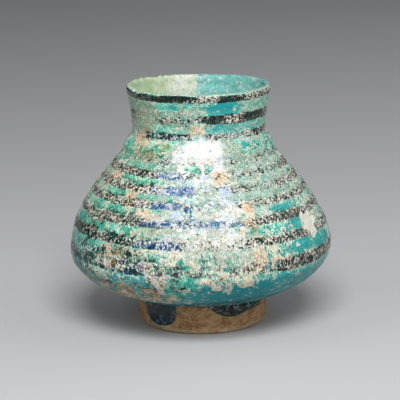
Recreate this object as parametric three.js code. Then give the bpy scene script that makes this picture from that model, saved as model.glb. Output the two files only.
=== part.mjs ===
// A small medieval pottery jar: a squat belly on a low foot ring, a collar, a short neck and a thin lip.
// It was thrown in sections joined with slip, painted with rings of black slip and dipped in turquoise glaze.
// Millimetres, +Z up. The origin is the centre of the standing face. Azimuth 0 is the jar's front, at -Y.
import * as THREE from "three";

// Turning
const SIDES = 36;

// The outline, from the middle of the base up the outside to the lip, as radius and height
const BASE_HEIGHT = 13.4;
const BASE_FLAT_RADIUS = 20;
const FOOT_CORNER = [32.1, 15.3];
const WIDEST = [65.0, 39.0];
const NECK_ROOT = [32.9, 97.0];
const LIP_EDGE = [35.4, 117.2];
const BASE_KNOTS = [[0, BASE_HEIGHT], [BASE_FLAT_RADIUS, BASE_HEIGHT]];
const BELLY_KNOTS = [FOOT_CORNER, [45.2, 18.8], [58.2, 26.2], [64.1, 33.6], WIDEST];
const SHOULDER_KNOTS = [[63.2, 49.5], [55.1, 65.3], [44.0, 79.6], [38.2, 87.0], [36.8, 91.2]];
const NECK_KNOTS = [NECK_ROOT, [33.3, 104.9], [34.2, 112.0], LIP_EDGE];
const OUTLINE_SAMPLES = 3000;

// Thicknesses
const WALL_AT_BASE = 5.6;
const WALL_AT_LIP = 2.8;
const GLAZE = 0.6;
const BAND_PROUD = 0.35;
const BAND_BEVEL = 0.4;
const SLIP = 0.6;
const SEAT_GAP = 0.05;
const LIP_CROWN = 1.2;
const CROWN_SHOULDER_ANGLE = 30;
const CROWN_PARTING_ANGLE = 2;

// Where the thrown sections meet, and the heights between where the walls have an edge
const BELLY_JOINT = 36.6;
const NECK_JOINT = 90.2;
const BELLY_STEPS = [15.5, 17.6, 21.0, 26.2, 31.4];
const SHOULDER_STEPS = [43.4, 54.6, 70.6, 83.0];
const NECK_STEPS = [93.4, 97.2, 109.4, LIP_EDGE[1]];
const COLLAR_STEPS = [91.6, 93.4, 95.2];

// The foot ring
const FOOT_RADIUS = 32.0;
const FOOT_INNER_RADIUS = 26.0;
const STANDING_FACE = [26.9, 29.2];
const FOOT_CHAMFER = 1.5;
const FOOT_SEAT_INSET = 0.3;

// Painted rings of black slip: lower and upper edge
const BODY_BANDS = [
  [38.2, 43.4],
  [50.8, 54.6],
  [60.0, 63.3],
  [68.0, 70.6],
  [74.0, 77.0],
  [80.2, 83.0],
  [86.0, 88.4],
];
const NECK_BANDS = {
  neck_band_lower: [97.2, 100.4],
  neck_band_upper: [105.0, 109.4],
  rim_band: [114.9, 117.0],
};

// Glaze runs on the foot: middle and half width in degrees, lowest height
const FOOT_RUNS = [
  { middle: -41.5, half: 18.5, lowest: 3.2 },
  { middle: 30.0, half: 25.0, lowest: 8.6 },
  { middle: 104.0, half: 13.0, lowest: 7.0 },
  { middle: 168.0, half: 21.0, lowest: 10.2 },
  { middle: -118.0, half: 15.0, lowest: 5.4 },
];
const RUN_THICKNESS = 0.9;
const RUN_EDGE = 0.2;
const RUN_SQUARENESS = 3;
const RUN_REACH = 0.97;
const RUN_BELOW_BELLY = 1.6;
const RUN_COLUMNS = 8;
const RUN_ROWS = 3;

// Fired materials
const stonepaste = new THREE.MeshStandardMaterial({ color: 0xa58c6c, roughness: 0.9, metalness: 0 });
const lutingSlip = new THREE.MeshStandardMaterial({ color: 0xb7a07d, roughness: 0.95, metalness: 0 });
const turquoiseGlaze = new THREE.MeshStandardMaterial({ color: 0x2aa9a4, roughness: 0.3, metalness: 0 });
const paleGlaze = new THREE.MeshStandardMaterial({ color: 0x9cc9b8, roughness: 0.45, metalness: 0 });
const blackSlip = new THREE.MeshStandardMaterial({ color: 0x1c2625, roughness: 0.4, metalness: 0 });
const darkGlaze = new THREE.MeshStandardMaterial({ color: 0x0d3f4a, roughness: 0.25, metalness: 0 });

// The whole outline as one smooth curve, sampled so that a place on it is found by height or by radius
const outline = (() => {
  const knots = [...BASE_KNOTS, ...BELLY_KNOTS, ...SHOULDER_KNOTS, ...NECK_KNOTS];
  const vectors = knots.map(([radius, height]) => new THREE.Vector3(radius, height, 0));
  return new THREE.CatmullRomCurve3(vectors, false, "centripetal").getPoints(OUTLINE_SAMPLES);
})();

// A place on the outline with its outward normal, in the plane of radius and height
function placeAfter(test) {
  const index = Math.max(1, outline.findIndex(test));
  const point = outline[index];
  const before = outline[index - 1];
  const along = new THREE.Vector2(point.x - before.x, point.y - before.y).normalize();
  return { point: new THREE.Vector2(point.x, point.y), normal: new THREE.Vector2(along.y, -along.x), along };
}

const atHeight = (height) => placeAfter((sample) => sample.x > FOOT_RADIUS && sample.y >= height);
const atRadius = (radius) => placeAfter((sample) => sample.x >= radius);
const onAxis = { point: new THREE.Vector2(0, BASE_HEIGHT), normal: new THREE.Vector2(0, -1) };

// The wall thins evenly from the base to the lip
function wallAt(place) {
  const rise = (place.point.y - BASE_HEIGHT) / (LIP_EDGE[1] - BASE_HEIGHT);
  return THREE.MathUtils.lerp(WALL_AT_BASE, WALL_AT_LIP, rise);
}

// The point at a depth below the outline, measured along its normal; a negative depth stands proud
function inset(place, depth) {
  const distance = typeof depth === "function" ? depth(place) : depth;
  return place.point.clone().addScaledVector(place.normal, -distance);
}

// Depths of the surfaces inside the wall
const clayOutside = GLAZE + SEAT_GAP;
const clayInside = (place) => wallAt(place) - GLAZE - SEAT_GAP;
const innerGlazeBack = (place) => wallAt(place) - GLAZE;

// A turned solid whose profile runs up its outer side and down its inner side
function turned(profile) {
  const startsOnAxis = profile[0].x === 0;
  const closed = startsOnAxis ? profile : [...profile, profile[0].clone()];
  return new THREE.LatheGeometry(closed, SIDES).rotateX(Math.PI / 2);
}

// A layer of wall between two depths, with separate places for its two sides and an optional crown above
function wallLayer(outerPlaces, outerDepth, innerPlaces, innerDepth, crown = []) {
  const up = outerPlaces.map((place) => inset(place, outerDepth));
  const down = innerPlaces.map((place) => inset(place, innerDepth)).reverse();
  return turned([...up, ...crown, ...down]);
}

// Points round the lip's crown, half an ellipse across the wall, from the outer side (0) to the inner (180)
function crownArc(depth, fromDegrees, toDegrees, steps) {
  const place = atHeight(LIP_EDGE[1]);
  const middle = inset(place, wallAt(place) / 2);
  const halfWidth = wallAt(place) / 2 - depth;
  return Array.from({ length: steps + 1 }, (_, step) => {
    const angle = THREE.MathUtils.degToRad(THREE.MathUtils.lerp(fromDegrees, toDegrees, step / steps));
    return middle.clone()
      .addScaledVector(place.normal, halfWidth * Math.cos(angle))
      .addScaledVector(place.along, (LIP_CROWN - depth) * Math.sin(angle));
  });
}

const places = (...heights) => heights.map(atHeight);

// Places shared by the layers of each section, from its lower joint to its upper one
const basePlaces = [onAxis, ...[BASE_FLAT_RADIUS, FOOT_INNER_RADIUS, FOOT_RADIUS].map(atRadius)];
const bellyPlaces = places(...BELLY_STEPS, BELLY_JOINT - SLIP / 2 - SEAT_GAP);
const shoulderFoot = BELLY_JOINT + SLIP / 2 + SEAT_GAP;
const shoulderTop = NECK_JOINT - SLIP / 2 - SEAT_GAP;
const shoulderPlaces = places(shoulderFoot, ...SHOULDER_STEPS, shoulderTop);
const neckPlaces = places(NECK_JOINT + SLIP / 2 + SEAT_GAP, ...NECK_STEPS);
const floorPlaces = [onAxis, atRadius(BASE_FLAT_RADIUS), ...bellyPlaces];

function footRing() {
  const seatEdges = [atRadius(FOOT_RADIUS - FOOT_SEAT_INSET), atRadius(FOOT_INNER_RADIUS)];
  const seat = seatEdges.map((place) => inset(place, -SLIP - 2 * SEAT_GAP));
  return turned([
    new THREE.Vector2(STANDING_FACE[1], 0),
    new THREE.Vector2(FOOT_RADIUS, FOOT_CHAMFER),
    new THREE.Vector2(FOOT_RADIUS, seat[0].y),
    ...seat,
    new THREE.Vector2(STANDING_FACE[0], 0),
  ]);
}

// The bowl: bare underneath, where the foot ring covers the base, and set back by the glaze outside it
function lowerBody() {
  const underneath = basePlaces.map((place) => inset(place, 0));
  const outside = bellyPlaces.map((place) => inset(place, clayOutside));
  const inside = floorPlaces.map((place) => inset(place, clayInside)).reverse();
  return turned([...underneath, ...outside, ...inside]);
}

const upperBody = () => wallLayer(shoulderPlaces, clayOutside, shoulderPlaces, clayInside);

function neckCollar() {
  const crown = crownArc(clayOutside, CROWN_SHOULDER_ANGLE, 180 - CROWN_SHOULDER_ANGLE, 4);
  return wallLayer(neckPlaces, clayOutside, neckPlaces, clayInside, crown);
}

function footSlip() {
  const seat = [FOOT_INNER_RADIUS + FOOT_SEAT_INSET, FOOT_RADIUS - FOOT_SEAT_INSET].map(atRadius);
  return wallLayer(seat, -SEAT_GAP - SLIP, seat, -SEAT_GAP);
}

// The slip squeezed into a joint of the wall
function jointSlip(height) {
  const seat = places(height - SLIP / 2, height + SLIP / 2);
  return wallLayer(seat, clayOutside, seat, clayInside);
}

// The outer glaze has a facet edge at each edge of a painted band, so that the band lies flat on it
function shoulderGlaze() {
  const edges = places(BELLY_JOINT + SEAT_GAP, ...BODY_BANDS.flat(), NECK_JOINT - SEAT_GAP);
  const backs = [edges[0], ...shoulderPlaces, edges.at(-1)];
  return wallLayer(edges, 0, backs, GLAZE);
}

function lowerGlaze() {
  const coat = [...bellyPlaces, atHeight(BELLY_JOINT - SEAT_GAP)];
  return wallLayer(coat, 0, coat, GLAZE);
}

function neckGlaze() {
  const bandEdges = Object.values(NECK_BANDS).flat();
  const edges = places(NECK_JOINT + SEAT_GAP, ...COLLAR_STEPS, ...bandEdges, LIP_EDGE[1]);
  const backs = [edges[0], ...neckPlaces];
  const [from, to] = [CROWN_SHOULDER_ANGLE, 90 - CROWN_PARTING_ANGLE];
  const crown = [...crownArc(0, from, to, 2), ...crownArc(GLAZE, to, from, 2)];
  return wallLayer(edges, 0, backs, GLAZE, crown);
}

const floorInnerGlaze = () => wallLayer(floorPlaces, innerGlazeBack, floorPlaces, wallAt);

const shoulderInnerGlaze = () => wallLayer(shoulderPlaces, innerGlazeBack, shoulderPlaces, wallAt);

function neckInnerGlaze() {
  const [from, to] = [180 - CROWN_SHOULDER_ANGLE, 90 + CROWN_PARTING_ANGLE];
  const crown = [...crownArc(GLAZE, from, to, 2), ...crownArc(0, to, from, 2)];
  return wallLayer(neckPlaces, innerGlazeBack, neckPlaces, wallAt, crown);
}

// A painted band stands a little proud of the glaze, with bevelled edges
function bandRing([lower, upper]) {
  const face = places(lower + BAND_BEVEL, upper - BAND_BEVEL);
  return wallLayer(face, -BAND_PROUD, places(lower, upper), -SEAT_GAP);
}

// A closed sheet from two grids of points with the same rows and columns, its outer side and its back
function sheet(columns, rows, outerPoint, backPoint) {
  const width = columns + 1;
  const count = width * (rows + 1);
  const positions = [];
  for (const point of [outerPoint, backPoint]) {
    for (let row = 0; row <= rows; row += 1) {
      for (let column = 0; column <= columns; column += 1) {
        positions.push(...point(column / columns, row / rows));
      }
    }
  }
  const faces = [];
  const quad = (a, b, c, d) => faces.push(a, b, c, a, c, d);
  for (let row = 0; row < rows; row += 1) {
    for (let column = 0; column < columns; column += 1) {
      const a = row * width + column;
      quad(a, a + 1, a + width + 1, a + width);
      quad(count + a, count + a + width, count + a + width + 1, count + a + 1);
    }
  }
  const rim = [];
  for (let column = 0; column < columns; column += 1) rim.push(column);
  for (let row = 0; row < rows; row += 1) rim.push(row * width + columns);
  for (let column = columns; column > 0; column -= 1) rim.push(rows * width + column);
  for (let row = rows; row > 0; row -= 1) rim.push(row * width);
  rim.forEach((from, index) => {
    const to = rim[(index + 1) % rim.length];
    quad(to, from, count + from, count + to);
  });
  const geometry = new THREE.BufferGeometry();
  geometry.setAttribute("position", new THREE.Float32BufferAttribute(positions, 3));
  geometry.setIndex(faces);
  geometry.computeVertexNormals();
  return geometry;
}

// A tongue of glaze on the foot: its lower edge is a squared-off ellipse, and it swells towards the middle
function footRun({ middle, half, lowest }) {
  const top = FOOT_CORNER[1] - RUN_BELOW_BELLY;
  const roundness = (across) => (1 - Math.abs(across) ** RUN_SQUARENESS) ** (1 / RUN_SQUARENESS);
  const bottom = (across) => top - (top - lowest) * roundness(across);
  const pointAt = (proud) => (u, v) => {
    const across = THREE.MathUtils.lerp(-RUN_REACH, RUN_REACH, u);
    const azimuth = THREE.MathUtils.degToRad(middle + half * across);
    const height = THREE.MathUtils.lerp(bottom(across), top, v);
    const radius = FOOT_RADIUS + 2 * SEAT_GAP + proud(across, v);
    return [radius * Math.sin(azimuth), -radius * Math.cos(azimuth), height];
  };
  const swelling = (across, v) => {
    const plump = (1 - across * across) * Math.sin(Math.PI * (0.25 + v / 2));
    return THREE.MathUtils.lerp(RUN_EDGE, RUN_THICKNESS, plump);
  };
  return sheet(RUN_COLUMNS, RUN_ROWS, pointAt(swelling), pointAt(() => 0));
}

const jar = new THREE.Group();

function addPiece(name, geometry, material) {
  const piece = new THREE.Mesh(geometry, material);
  piece.name = name;
  jar.add(piece);
}

addPiece("foot_ring", footRing(), stonepaste);
addPiece("lower_body", lowerBody(), stonepaste);
addPiece("upper_body", upperBody(), stonepaste);
addPiece("neck_collar", neckCollar(), stonepaste);
addPiece("foot_slip", footSlip(), lutingSlip);
addPiece("belly_slip", jointSlip(BELLY_JOINT), lutingSlip);
addPiece("neck_slip", jointSlip(NECK_JOINT), lutingSlip);
addPiece("lower_glaze", lowerGlaze(), turquoiseGlaze);
addPiece("shoulder_glaze", shoulderGlaze(), turquoiseGlaze);
addPiece("neck_glaze", neckGlaze(), turquoiseGlaze);
addPiece("floor_inner_glaze", floorInnerGlaze(), paleGlaze);
addPiece("shoulder_inner_glaze", shoulderInnerGlaze(), paleGlaze);
addPiece("neck_inner_glaze", neckInnerGlaze(), paleGlaze);
BODY_BANDS.forEach((edges, index) => addPiece(`body_band_${index + 1}`, bandRing(edges), blackSlip));
Object.entries(NECK_BANDS).forEach(([name, edges]) => addPiece(name, bandRing(edges), blackSlip));
FOOT_RUNS.forEach((run, index) => addPiece(`foot_run_${index + 1}`, footRun(run), darkGlaze));

export default jar;
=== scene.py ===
"""The looks of a small medieval pottery jar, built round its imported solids.

The jar is turned on a wheel, so each coat and wall is a layer along one path: up the outside from the
middle of the base, over the lip, and down the inside to the middle of the floor. Lengths are millimetres and
angles are degrees where a name doesn't say otherwise, and meshes are written in metres. Azimuth 0 is the
front, at -Y, and azimuth grows towards +X.
"""
import itertools
import logging
import math
from dataclasses import dataclass
from enum import Enum, IntEnum
from functools import cached_property
from typing import Any, Sequence

import bpy
import numpy as np
from mathutils import Matrix, Vector


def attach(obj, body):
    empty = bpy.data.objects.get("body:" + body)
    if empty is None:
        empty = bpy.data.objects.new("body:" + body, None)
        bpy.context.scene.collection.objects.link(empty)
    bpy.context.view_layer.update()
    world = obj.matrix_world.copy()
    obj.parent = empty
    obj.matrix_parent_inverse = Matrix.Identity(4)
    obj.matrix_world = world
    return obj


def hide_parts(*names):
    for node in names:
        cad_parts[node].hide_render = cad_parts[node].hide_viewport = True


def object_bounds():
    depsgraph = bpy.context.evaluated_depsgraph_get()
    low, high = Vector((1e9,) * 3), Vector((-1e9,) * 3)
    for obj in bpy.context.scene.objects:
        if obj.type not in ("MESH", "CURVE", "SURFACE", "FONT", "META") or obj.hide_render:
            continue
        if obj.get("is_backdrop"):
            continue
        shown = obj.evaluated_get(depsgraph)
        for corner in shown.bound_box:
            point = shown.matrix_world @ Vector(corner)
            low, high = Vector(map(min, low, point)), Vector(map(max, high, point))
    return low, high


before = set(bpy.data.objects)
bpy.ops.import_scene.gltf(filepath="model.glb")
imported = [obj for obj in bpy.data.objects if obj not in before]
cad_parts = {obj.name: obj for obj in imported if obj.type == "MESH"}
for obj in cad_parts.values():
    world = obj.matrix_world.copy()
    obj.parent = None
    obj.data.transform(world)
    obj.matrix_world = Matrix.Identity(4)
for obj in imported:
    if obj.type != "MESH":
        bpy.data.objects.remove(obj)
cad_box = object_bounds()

LOG = logging.getLogger("pottery_jar")

MM = 0.001
BODY = "root"
FIRED = "fired_"
BAKE_MAP = "OFBake"
ENDS_ONLY = 1000.0
SHARP_ANGLE = 62.0
SEED_STEP = 17

Array = np.ndarray
Point = tuple[float, float]
Socket = bpy.types.NodeSocket


class Seed(IntEnum):
    """Which pattern each noise takes."""

    BACK = 5
    SIDEWAYS = 11
    SIDEWAYS_FINE = 12
    UPWARDS = 21
    UPWARDS_FINE = 22
    FLAKES = 31
    CLUMPS = 41
    DRIPS = 43
    STAINS = 51
    GREENS = 61
    RAGGED = 71
    TURNING = 72
    LUMPS = 73
    KNOBS = 74
    LINING = 81
    PARTING = 82
    FOOT = 91
    CHIP = 92
    RUNS = 100


def smoothstep(low: float | Array, high: float | Array, value: Array) -> Array:
    """A soft step from 0 to 1: 3t^2 - 2t^3 of how far value has come from low to high."""
    t = np.clip((value - low) / (high - low), 0.0, 1.0)
    return t * t * (3.0 - 2.0 * t)


def wrapped(azimuth: Array) -> Array:
    """The same azimuth between -180 and 180."""
    return (azimuth + 180.0) % 360.0 - 180.0


def smoothed(values: Array, width: int) -> Array:
    """A running mean over an odd width, weighted by a raised cosine."""
    kernel = np.hanning(width) / np.hanning(width).sum()
    return np.convolve(np.pad(values, width // 2, mode="edge"), kernel, mode="valid")


def turned(radius: Array, azimuth: Array, height: Array) -> Array:
    """Points round the jar's axis, with x, y and z last."""
    angle = np.radians(azimuth)
    return np.stack(np.broadcast_arrays(radius * np.sin(angle), -radius * np.cos(angle), height), axis=-1)


def lattice_noise(points: Array, cell: float, seed: int) -> Array:
    """Smooth noise from a cubic lattice of hashed corner values, blended by the soft step of the place.

    Args:
        points: places in millimetres, with x, y and z last.
        cell: the lattice's pitch in millimetres.
        seed: chooses the pattern.

    Returns:
        Values from -1 to 1, one for each place.
    """
    place = points / cell
    corner = np.floor(place).astype(np.int64)
    blend = smoothstep(0.0, 1.0, place - corner)
    total = np.zeros(points.shape[:-1])
    for step in itertools.product((0, 1), repeat=3):
        x, y, z = np.moveaxis(corner + np.array(step), -1, 0)
        mixed = (x * 73856093) ^ (y * 19349663) ^ (z * 83492791) ^ (int(seed) * 2654435761)
        mixed = ((mixed ^ (mixed >> 13)) * 1274126177) & 0xFFFFFFFF
        mixed = ((mixed ^ (mixed >> 16)) * 2246822519) & 0xFFFFFFFF
        value = (mixed >> 8) / 0x7FFFFF - 1.0
        total += value * np.prod(np.where(np.array(step) == 1, blend, 1.0 - blend), axis=-1)
    return total


def fractal_noise(points: Array, cell: float, seed: int, octaves: int = 3) -> Array:
    """Noise summed over octaves, each half as coarse and half as strong as the one before.

    Args:
        points: places in millimetres.
        cell: the coarsest pitch.
        seed: chooses the pattern.
        octaves: how many are summed.

    Returns:
        Values from about -1 to 1.
    """
    weights = 0.5 ** np.arange(octaves)
    layers = [
        weight * lattice_noise(points, cell * weight, seed + SEED_STEP * step)
        for step, weight in enumerate(weights)
    ]
    return np.sum(layers, axis=0) / weights.sum()


@dataclass(frozen=True)
class Places:
    """Places on the path, as arrays of one shape, with the direction that points out of the clay."""

    radius: Array
    height: Array
    out: Array
    up: Array

    def at_depth(self, depth: float | Array) -> tuple[Array, Array]:
        """Radius and height at a depth under the surface, along the normal."""
        return self.radius - depth * self.out, self.height - depth * self.up

    def points(self, azimuth: Array) -> Array:
        """The places as points at these azimuths."""
        return turned(self.radius, azimuth, self.height)


@dataclass(frozen=True)
class TurnedPath:
    """The jar's whole skin as one path: up the outside, over the lip and down the inside."""

    base: tuple[Point, ...] = ((0.0, 13.4), (20.0, 13.4))
    belly: tuple[Point, ...] = ((32.1, 15.3), (45.2, 18.8), (58.2, 26.2), (64.1, 33.6), (65.0, 39.0))
    shoulder: tuple[Point, ...] = ((63.2, 49.5), (55.1, 65.3), (44.0, 79.6), (38.2, 87.0), (36.8, 91.2))
    neck: tuple[Point, ...] = ((32.9, 97.0), (33.3, 104.9), (34.2, 112.0), (35.4, 117.2))
    wall_at_base: float = 5.6
    wall_at_lip: float = 2.8
    crown: float = 1.2
    foot_radius: float = 32.0
    samples: int = 200
    crown_samples: int = 60

    @property
    def knots(self) -> Array:
        """The outline's knots, as radius and height."""
        return np.array([*self.base, *self.belly, *self.shoulder, *self.neck])

    def outline(self) -> Array:
        """The outside as a centripetal Catmull-Rom curve through the knots.

        Each stretch is a cubic whose end slopes weigh the neighbouring chords by the square roots of their
        lengths, so it rounds the knots without loops.

        Returns:
            Radius and height of each sample.
        """
        knots = self.knots
        spread = np.concatenate([[2 * knots[0] - knots[1]], knots, [2 * knots[-1] - knots[-2]]])
        before, start, stop, after = spread[:-3], spread[1:-2], spread[2:-1], spread[3:]
        root = np.sqrt(np.linalg.norm(np.diff(spread, axis=0), axis=1))[:, None]
        first, middle, last = root[:-2], root[1:-1], root[2:]
        slope_in = middle * ((start - before) / first - (stop - before) / (first + middle)) + (stop - start)
        slope_out = middle * ((after - stop) / last - (after - start) / (middle + last)) + (stop - start)
        t = np.linspace(0.0, 1.0, self.samples, endpoint=False)[None, :, None]
        start, stop, slope_in, slope_out = (part[:, None, :] for part in (start, stop, slope_in, slope_out))
        bend = -3 * start + 3 * stop - 2 * slope_in - slope_out
        twist = 2 * start - 2 * stop + slope_in + slope_out
        curve = start + slope_in * t + bend * t**2 + twist * t**3
        return np.concatenate([curve.reshape(-1, 2), knots[-1:]])

    @staticmethod
    def normals(curve: Array) -> Array:
        """Unit normals on the right of the way along the curve, which is the side away from the clay."""
        along = np.gradient(curve, axis=0)
        along /= np.linalg.norm(along, axis=1, keepdims=True)
        return np.stack([along[:, 1], -along[:, 0]], axis=1)

    @cached_property
    def table(self) -> dict[str, Array]:
        """The sampled path: its length so far, radius, height and normal, and where the inside begins.

        The inside is the outside moved in by the wall, and the crown between them is half an ellipse.
        """
        outside = self.outline()
        normal = self.normals(outside)
        rise = (outside[:, 1:] - self.knots[0, 1]) / (self.knots[-1, 1] - self.knots[0, 1])
        wall = self.wall_at_base + (self.wall_at_lip - self.wall_at_base) * rise
        inside = (outside - normal * wall)[::-1]
        angle = np.linspace(0.0, math.pi, self.crown_samples)[1:-1, None]
        middle = (outside[-1] + inside[0]) / 2
        along = np.array([-normal[-1, 1], normal[-1, 0]])
        across = (outside[-1] - inside[0]) / 2
        crown = middle + across * np.cos(angle) + along * self.crown * np.sin(angle)
        path = np.concatenate([outside, crown, inside])
        length = np.concatenate([[0.0], np.cumsum(np.linalg.norm(np.diff(path, axis=0), axis=1))])
        normal = self.normals(path)
        return {
            "length": length,
            "radius": path[:, 0],
            "height": path[:, 1],
            "out": normal[:, 0],
            "up": normal[:, 1],
            "lip": length[[len(outside) - 1, len(outside) + len(crown)]],
            "outside": outside,
        }

    def places(self, arc: Array) -> Places:
        """The places at these lengths along the path."""
        table = self.table
        keys = ("radius", "height", "out", "up")
        return Places(*(np.interp(arc, table["length"], table[key]) for key in keys))

    @property
    def end(self) -> float:
        """The path's whole length."""
        return float(self.table["length"][-1])

    @property
    def lip(self) -> tuple[float, float]:
        """Where the crown begins on the outside, and ends on the inside."""
        return float(self.table["lip"][0]), float(self.table["lip"][1])

    def outside_at(self, height: float | Array) -> Array:
        """Length along the path where its outside reaches a height above the foot."""
        table = self.table
        above_foot = (table["length"] <= self.lip[0]) & (table["radius"] > self.foot_radius)
        return np.interp(height, table["height"][above_foot], table["length"][above_foot])

    def outside_at_radius(self, radius: float) -> float:
        """Length along the path where the underside reaches a radius."""
        table = self.table
        underside = (table["height"] <= self.belly[1][1]) & (table["length"] <= self.lip[0])
        return float(np.interp(radius, table["radius"][underside], table["length"][underside]))

    def inside_at(self, height: float | Array) -> Array:
        """Length along the path on the inside, across the wall from an outside height."""
        length, outside = self.table["length"], self.table["outside"]
        share = np.interp(self.outside_at(height), length[: len(outside)], np.arange(len(outside)))
        return np.interp(len(length) - 1 - share, np.arange(len(length)), length)


PATH = TurnedPath()


@dataclass(frozen=True)
class Chip:
    """A dip in the lip: its azimuth, half width and depth."""

    azimuth: float
    half_width: float
    depth: float


@dataclass(frozen=True)
class Throwing:
    """How the fired jar strays from a true turned form: it leans, is slightly oval, and has a chipped lip."""

    drift_heights: tuple[float, ...] = (0.0, 13.0, 19.0, 31.0, 43.0, 58.0, 74.0, 90.0, 118.4)
    drift: tuple[float, ...] = (0.9, 0.5, -0.5, -0.6, 0.25, -0.4, -0.5, -0.2, 0.1)
    drift_samples: int = 600
    drift_smoothing: int = 31
    oval: float = 0.12
    wobble: float = 0.16
    wobble_rise: float = 21.0
    lip_from: float = 113.5
    lip_top: float = 118.4
    lip_raise: float = 0.95
    lip_wave: float = 0.08
    chips: tuple[Chip, ...] = (
        Chip(-58.0, 7.0, 0.5),
        Chip(-36.0, 5.0, 0.55),
        Chip(-97.0, 12.0, 0.45),
        Chip(-140.0, 9.0, 0.35),
        Chip(38.0, 8.0, 0.25),
        Chip(120.0, 10.0, 0.4),
    )

    def lip_dip(self, azimuth: Array) -> Array:
        """How far the lip lies low: bell curves of the chips, and a slow wave. All but its back is raised."""
        raised = 1.0 - smoothstep(105.0, 170.0, np.abs(wrapped(azimuth)))
        dip = self.lip_wave * np.sin(np.radians(5 * azimuth)) - self.lip_raise * raised
        for chip in self.chips:
            dip = dip + chip.depth * np.exp(-((wrapped(azimuth - chip.azimuth) / chip.half_width) ** 2))
        return dip

    def place(self, radius: Array, height: Array, azimuth: Array) -> Array:
        """Puts a turned place where the fired jar has it.

        The radius swells by sines of the azimuth, the height sinks by the lip's dip near the lip, and the
        axis moves sideways by a smooth curve through the drifts.

        Args:
            radius: from the axis.
            height: above the standing face.
            azimuth: in degrees, of a shape that fits the others.

        Returns:
            x, y and z in millimetres, last.
        """
        angle = np.radians(azimuth)
        swell = self.oval * np.cos(2 * (angle - 0.5))
        swell = swell + self.wobble * np.sin(3 * angle + height / self.wobble_rise)
        swell = smoothstep(0.0, 40.0, radius) * swell * smoothstep(0.0, 12.0, height)
        lowered = height - self.lip_dip(azimuth) * smoothstep(self.lip_from, self.lip_top, height)
        fine = np.linspace(self.drift_heights[0], self.drift_heights[-1], self.drift_samples)
        drift = smoothed(np.interp(fine, self.drift_heights, self.drift), self.drift_smoothing)
        points = turned(radius + swell, azimuth, lowered)
        points[..., 0] += np.interp(height, fine, drift)
        return points


THROWING = Throwing()


class Field(Enum):
    """What a vertex tells the finish about the surface there, from 0 to 1."""

    SLIP = "slip"
    CRUST_AND_HIGHLIGHT = "crust"
    TAN = "tan"
    GREEN = "green"
    BLUE = "blue"
    HAZE_AND_HIGHLIGHT = "haze"
    WHITE = "white"
    DEEP_AND_SHADE = "deep"
    MOSAIC = "mosaic"
    RISE = "rise"
    FLAKE = "flake"


@dataclass(frozen=True)
class Patch:
    """A patch of wear: its middle, its half width in degrees, its half height, and the value that it sets."""

    azimuth: float
    height: float
    half_width: float
    half_height: float
    value: float


@dataclass(frozen=True)
class Paint:
    """A value on plain glaze, and the patches laid over it, each with a Patch's five numbers in order."""

    ground: float
    patches: tuple[tuple[float, float, float, float, float], ...]


@dataclass(frozen=True)
class PaintedBand:
    """A ring of black slip: its piece's name, edges, and how far its edges wave."""

    name: str
    lower: float
    upper: float
    wave: float = 0.3

    def edges(self, azimuth: Array) -> tuple[Array, Array]:
        """Where the band's edges lie along the path, at each azimuth.

        Each edge waves by three sines of the azimuth, with phases from the band's own height.
        """
        angle = np.radians(azimuth)
        found = []
        for side, height in enumerate((self.lower, self.upper)):
            turn = 1.7 * self.lower + 2.1 * side
            wave = np.sin(4 * angle + turn) + 0.6 * np.sin(9 * angle + 2 * turn)
            wave = wave + 0.4 * np.sin(17 * angle + 3 * turn)
            found.append(PATH.outside_at(height + self.wave * wave / 2))
        return found[0], found[1]


BODY_BANDS = (
    PaintedBand("body_band_1", 38.0, 43.6, 0.5),
    PaintedBand("body_band_2", 50.7, 54.6, 0.35),
    PaintedBand("body_band_3", 60.0, 63.4, 0.35),
    PaintedBand("body_band_4", 67.8, 70.7),
    PaintedBand("body_band_5", 74.0, 77.2, 0.35),
    PaintedBand("body_band_6", 80.2, 83.2),
    PaintedBand("body_band_7", 86.0, 88.4),
)
NECK_BANDS = (PaintedBand("neck_band_lower", 97.2, 100.4), PaintedBand("neck_band_upper", 105.1, 109.6))
RIM_BAND_LOWER = 115.4
RIM_BAND_CROWN = 0.9
BELLY_JOINT = 36.6
NECK_JOINT = 90.2
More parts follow.
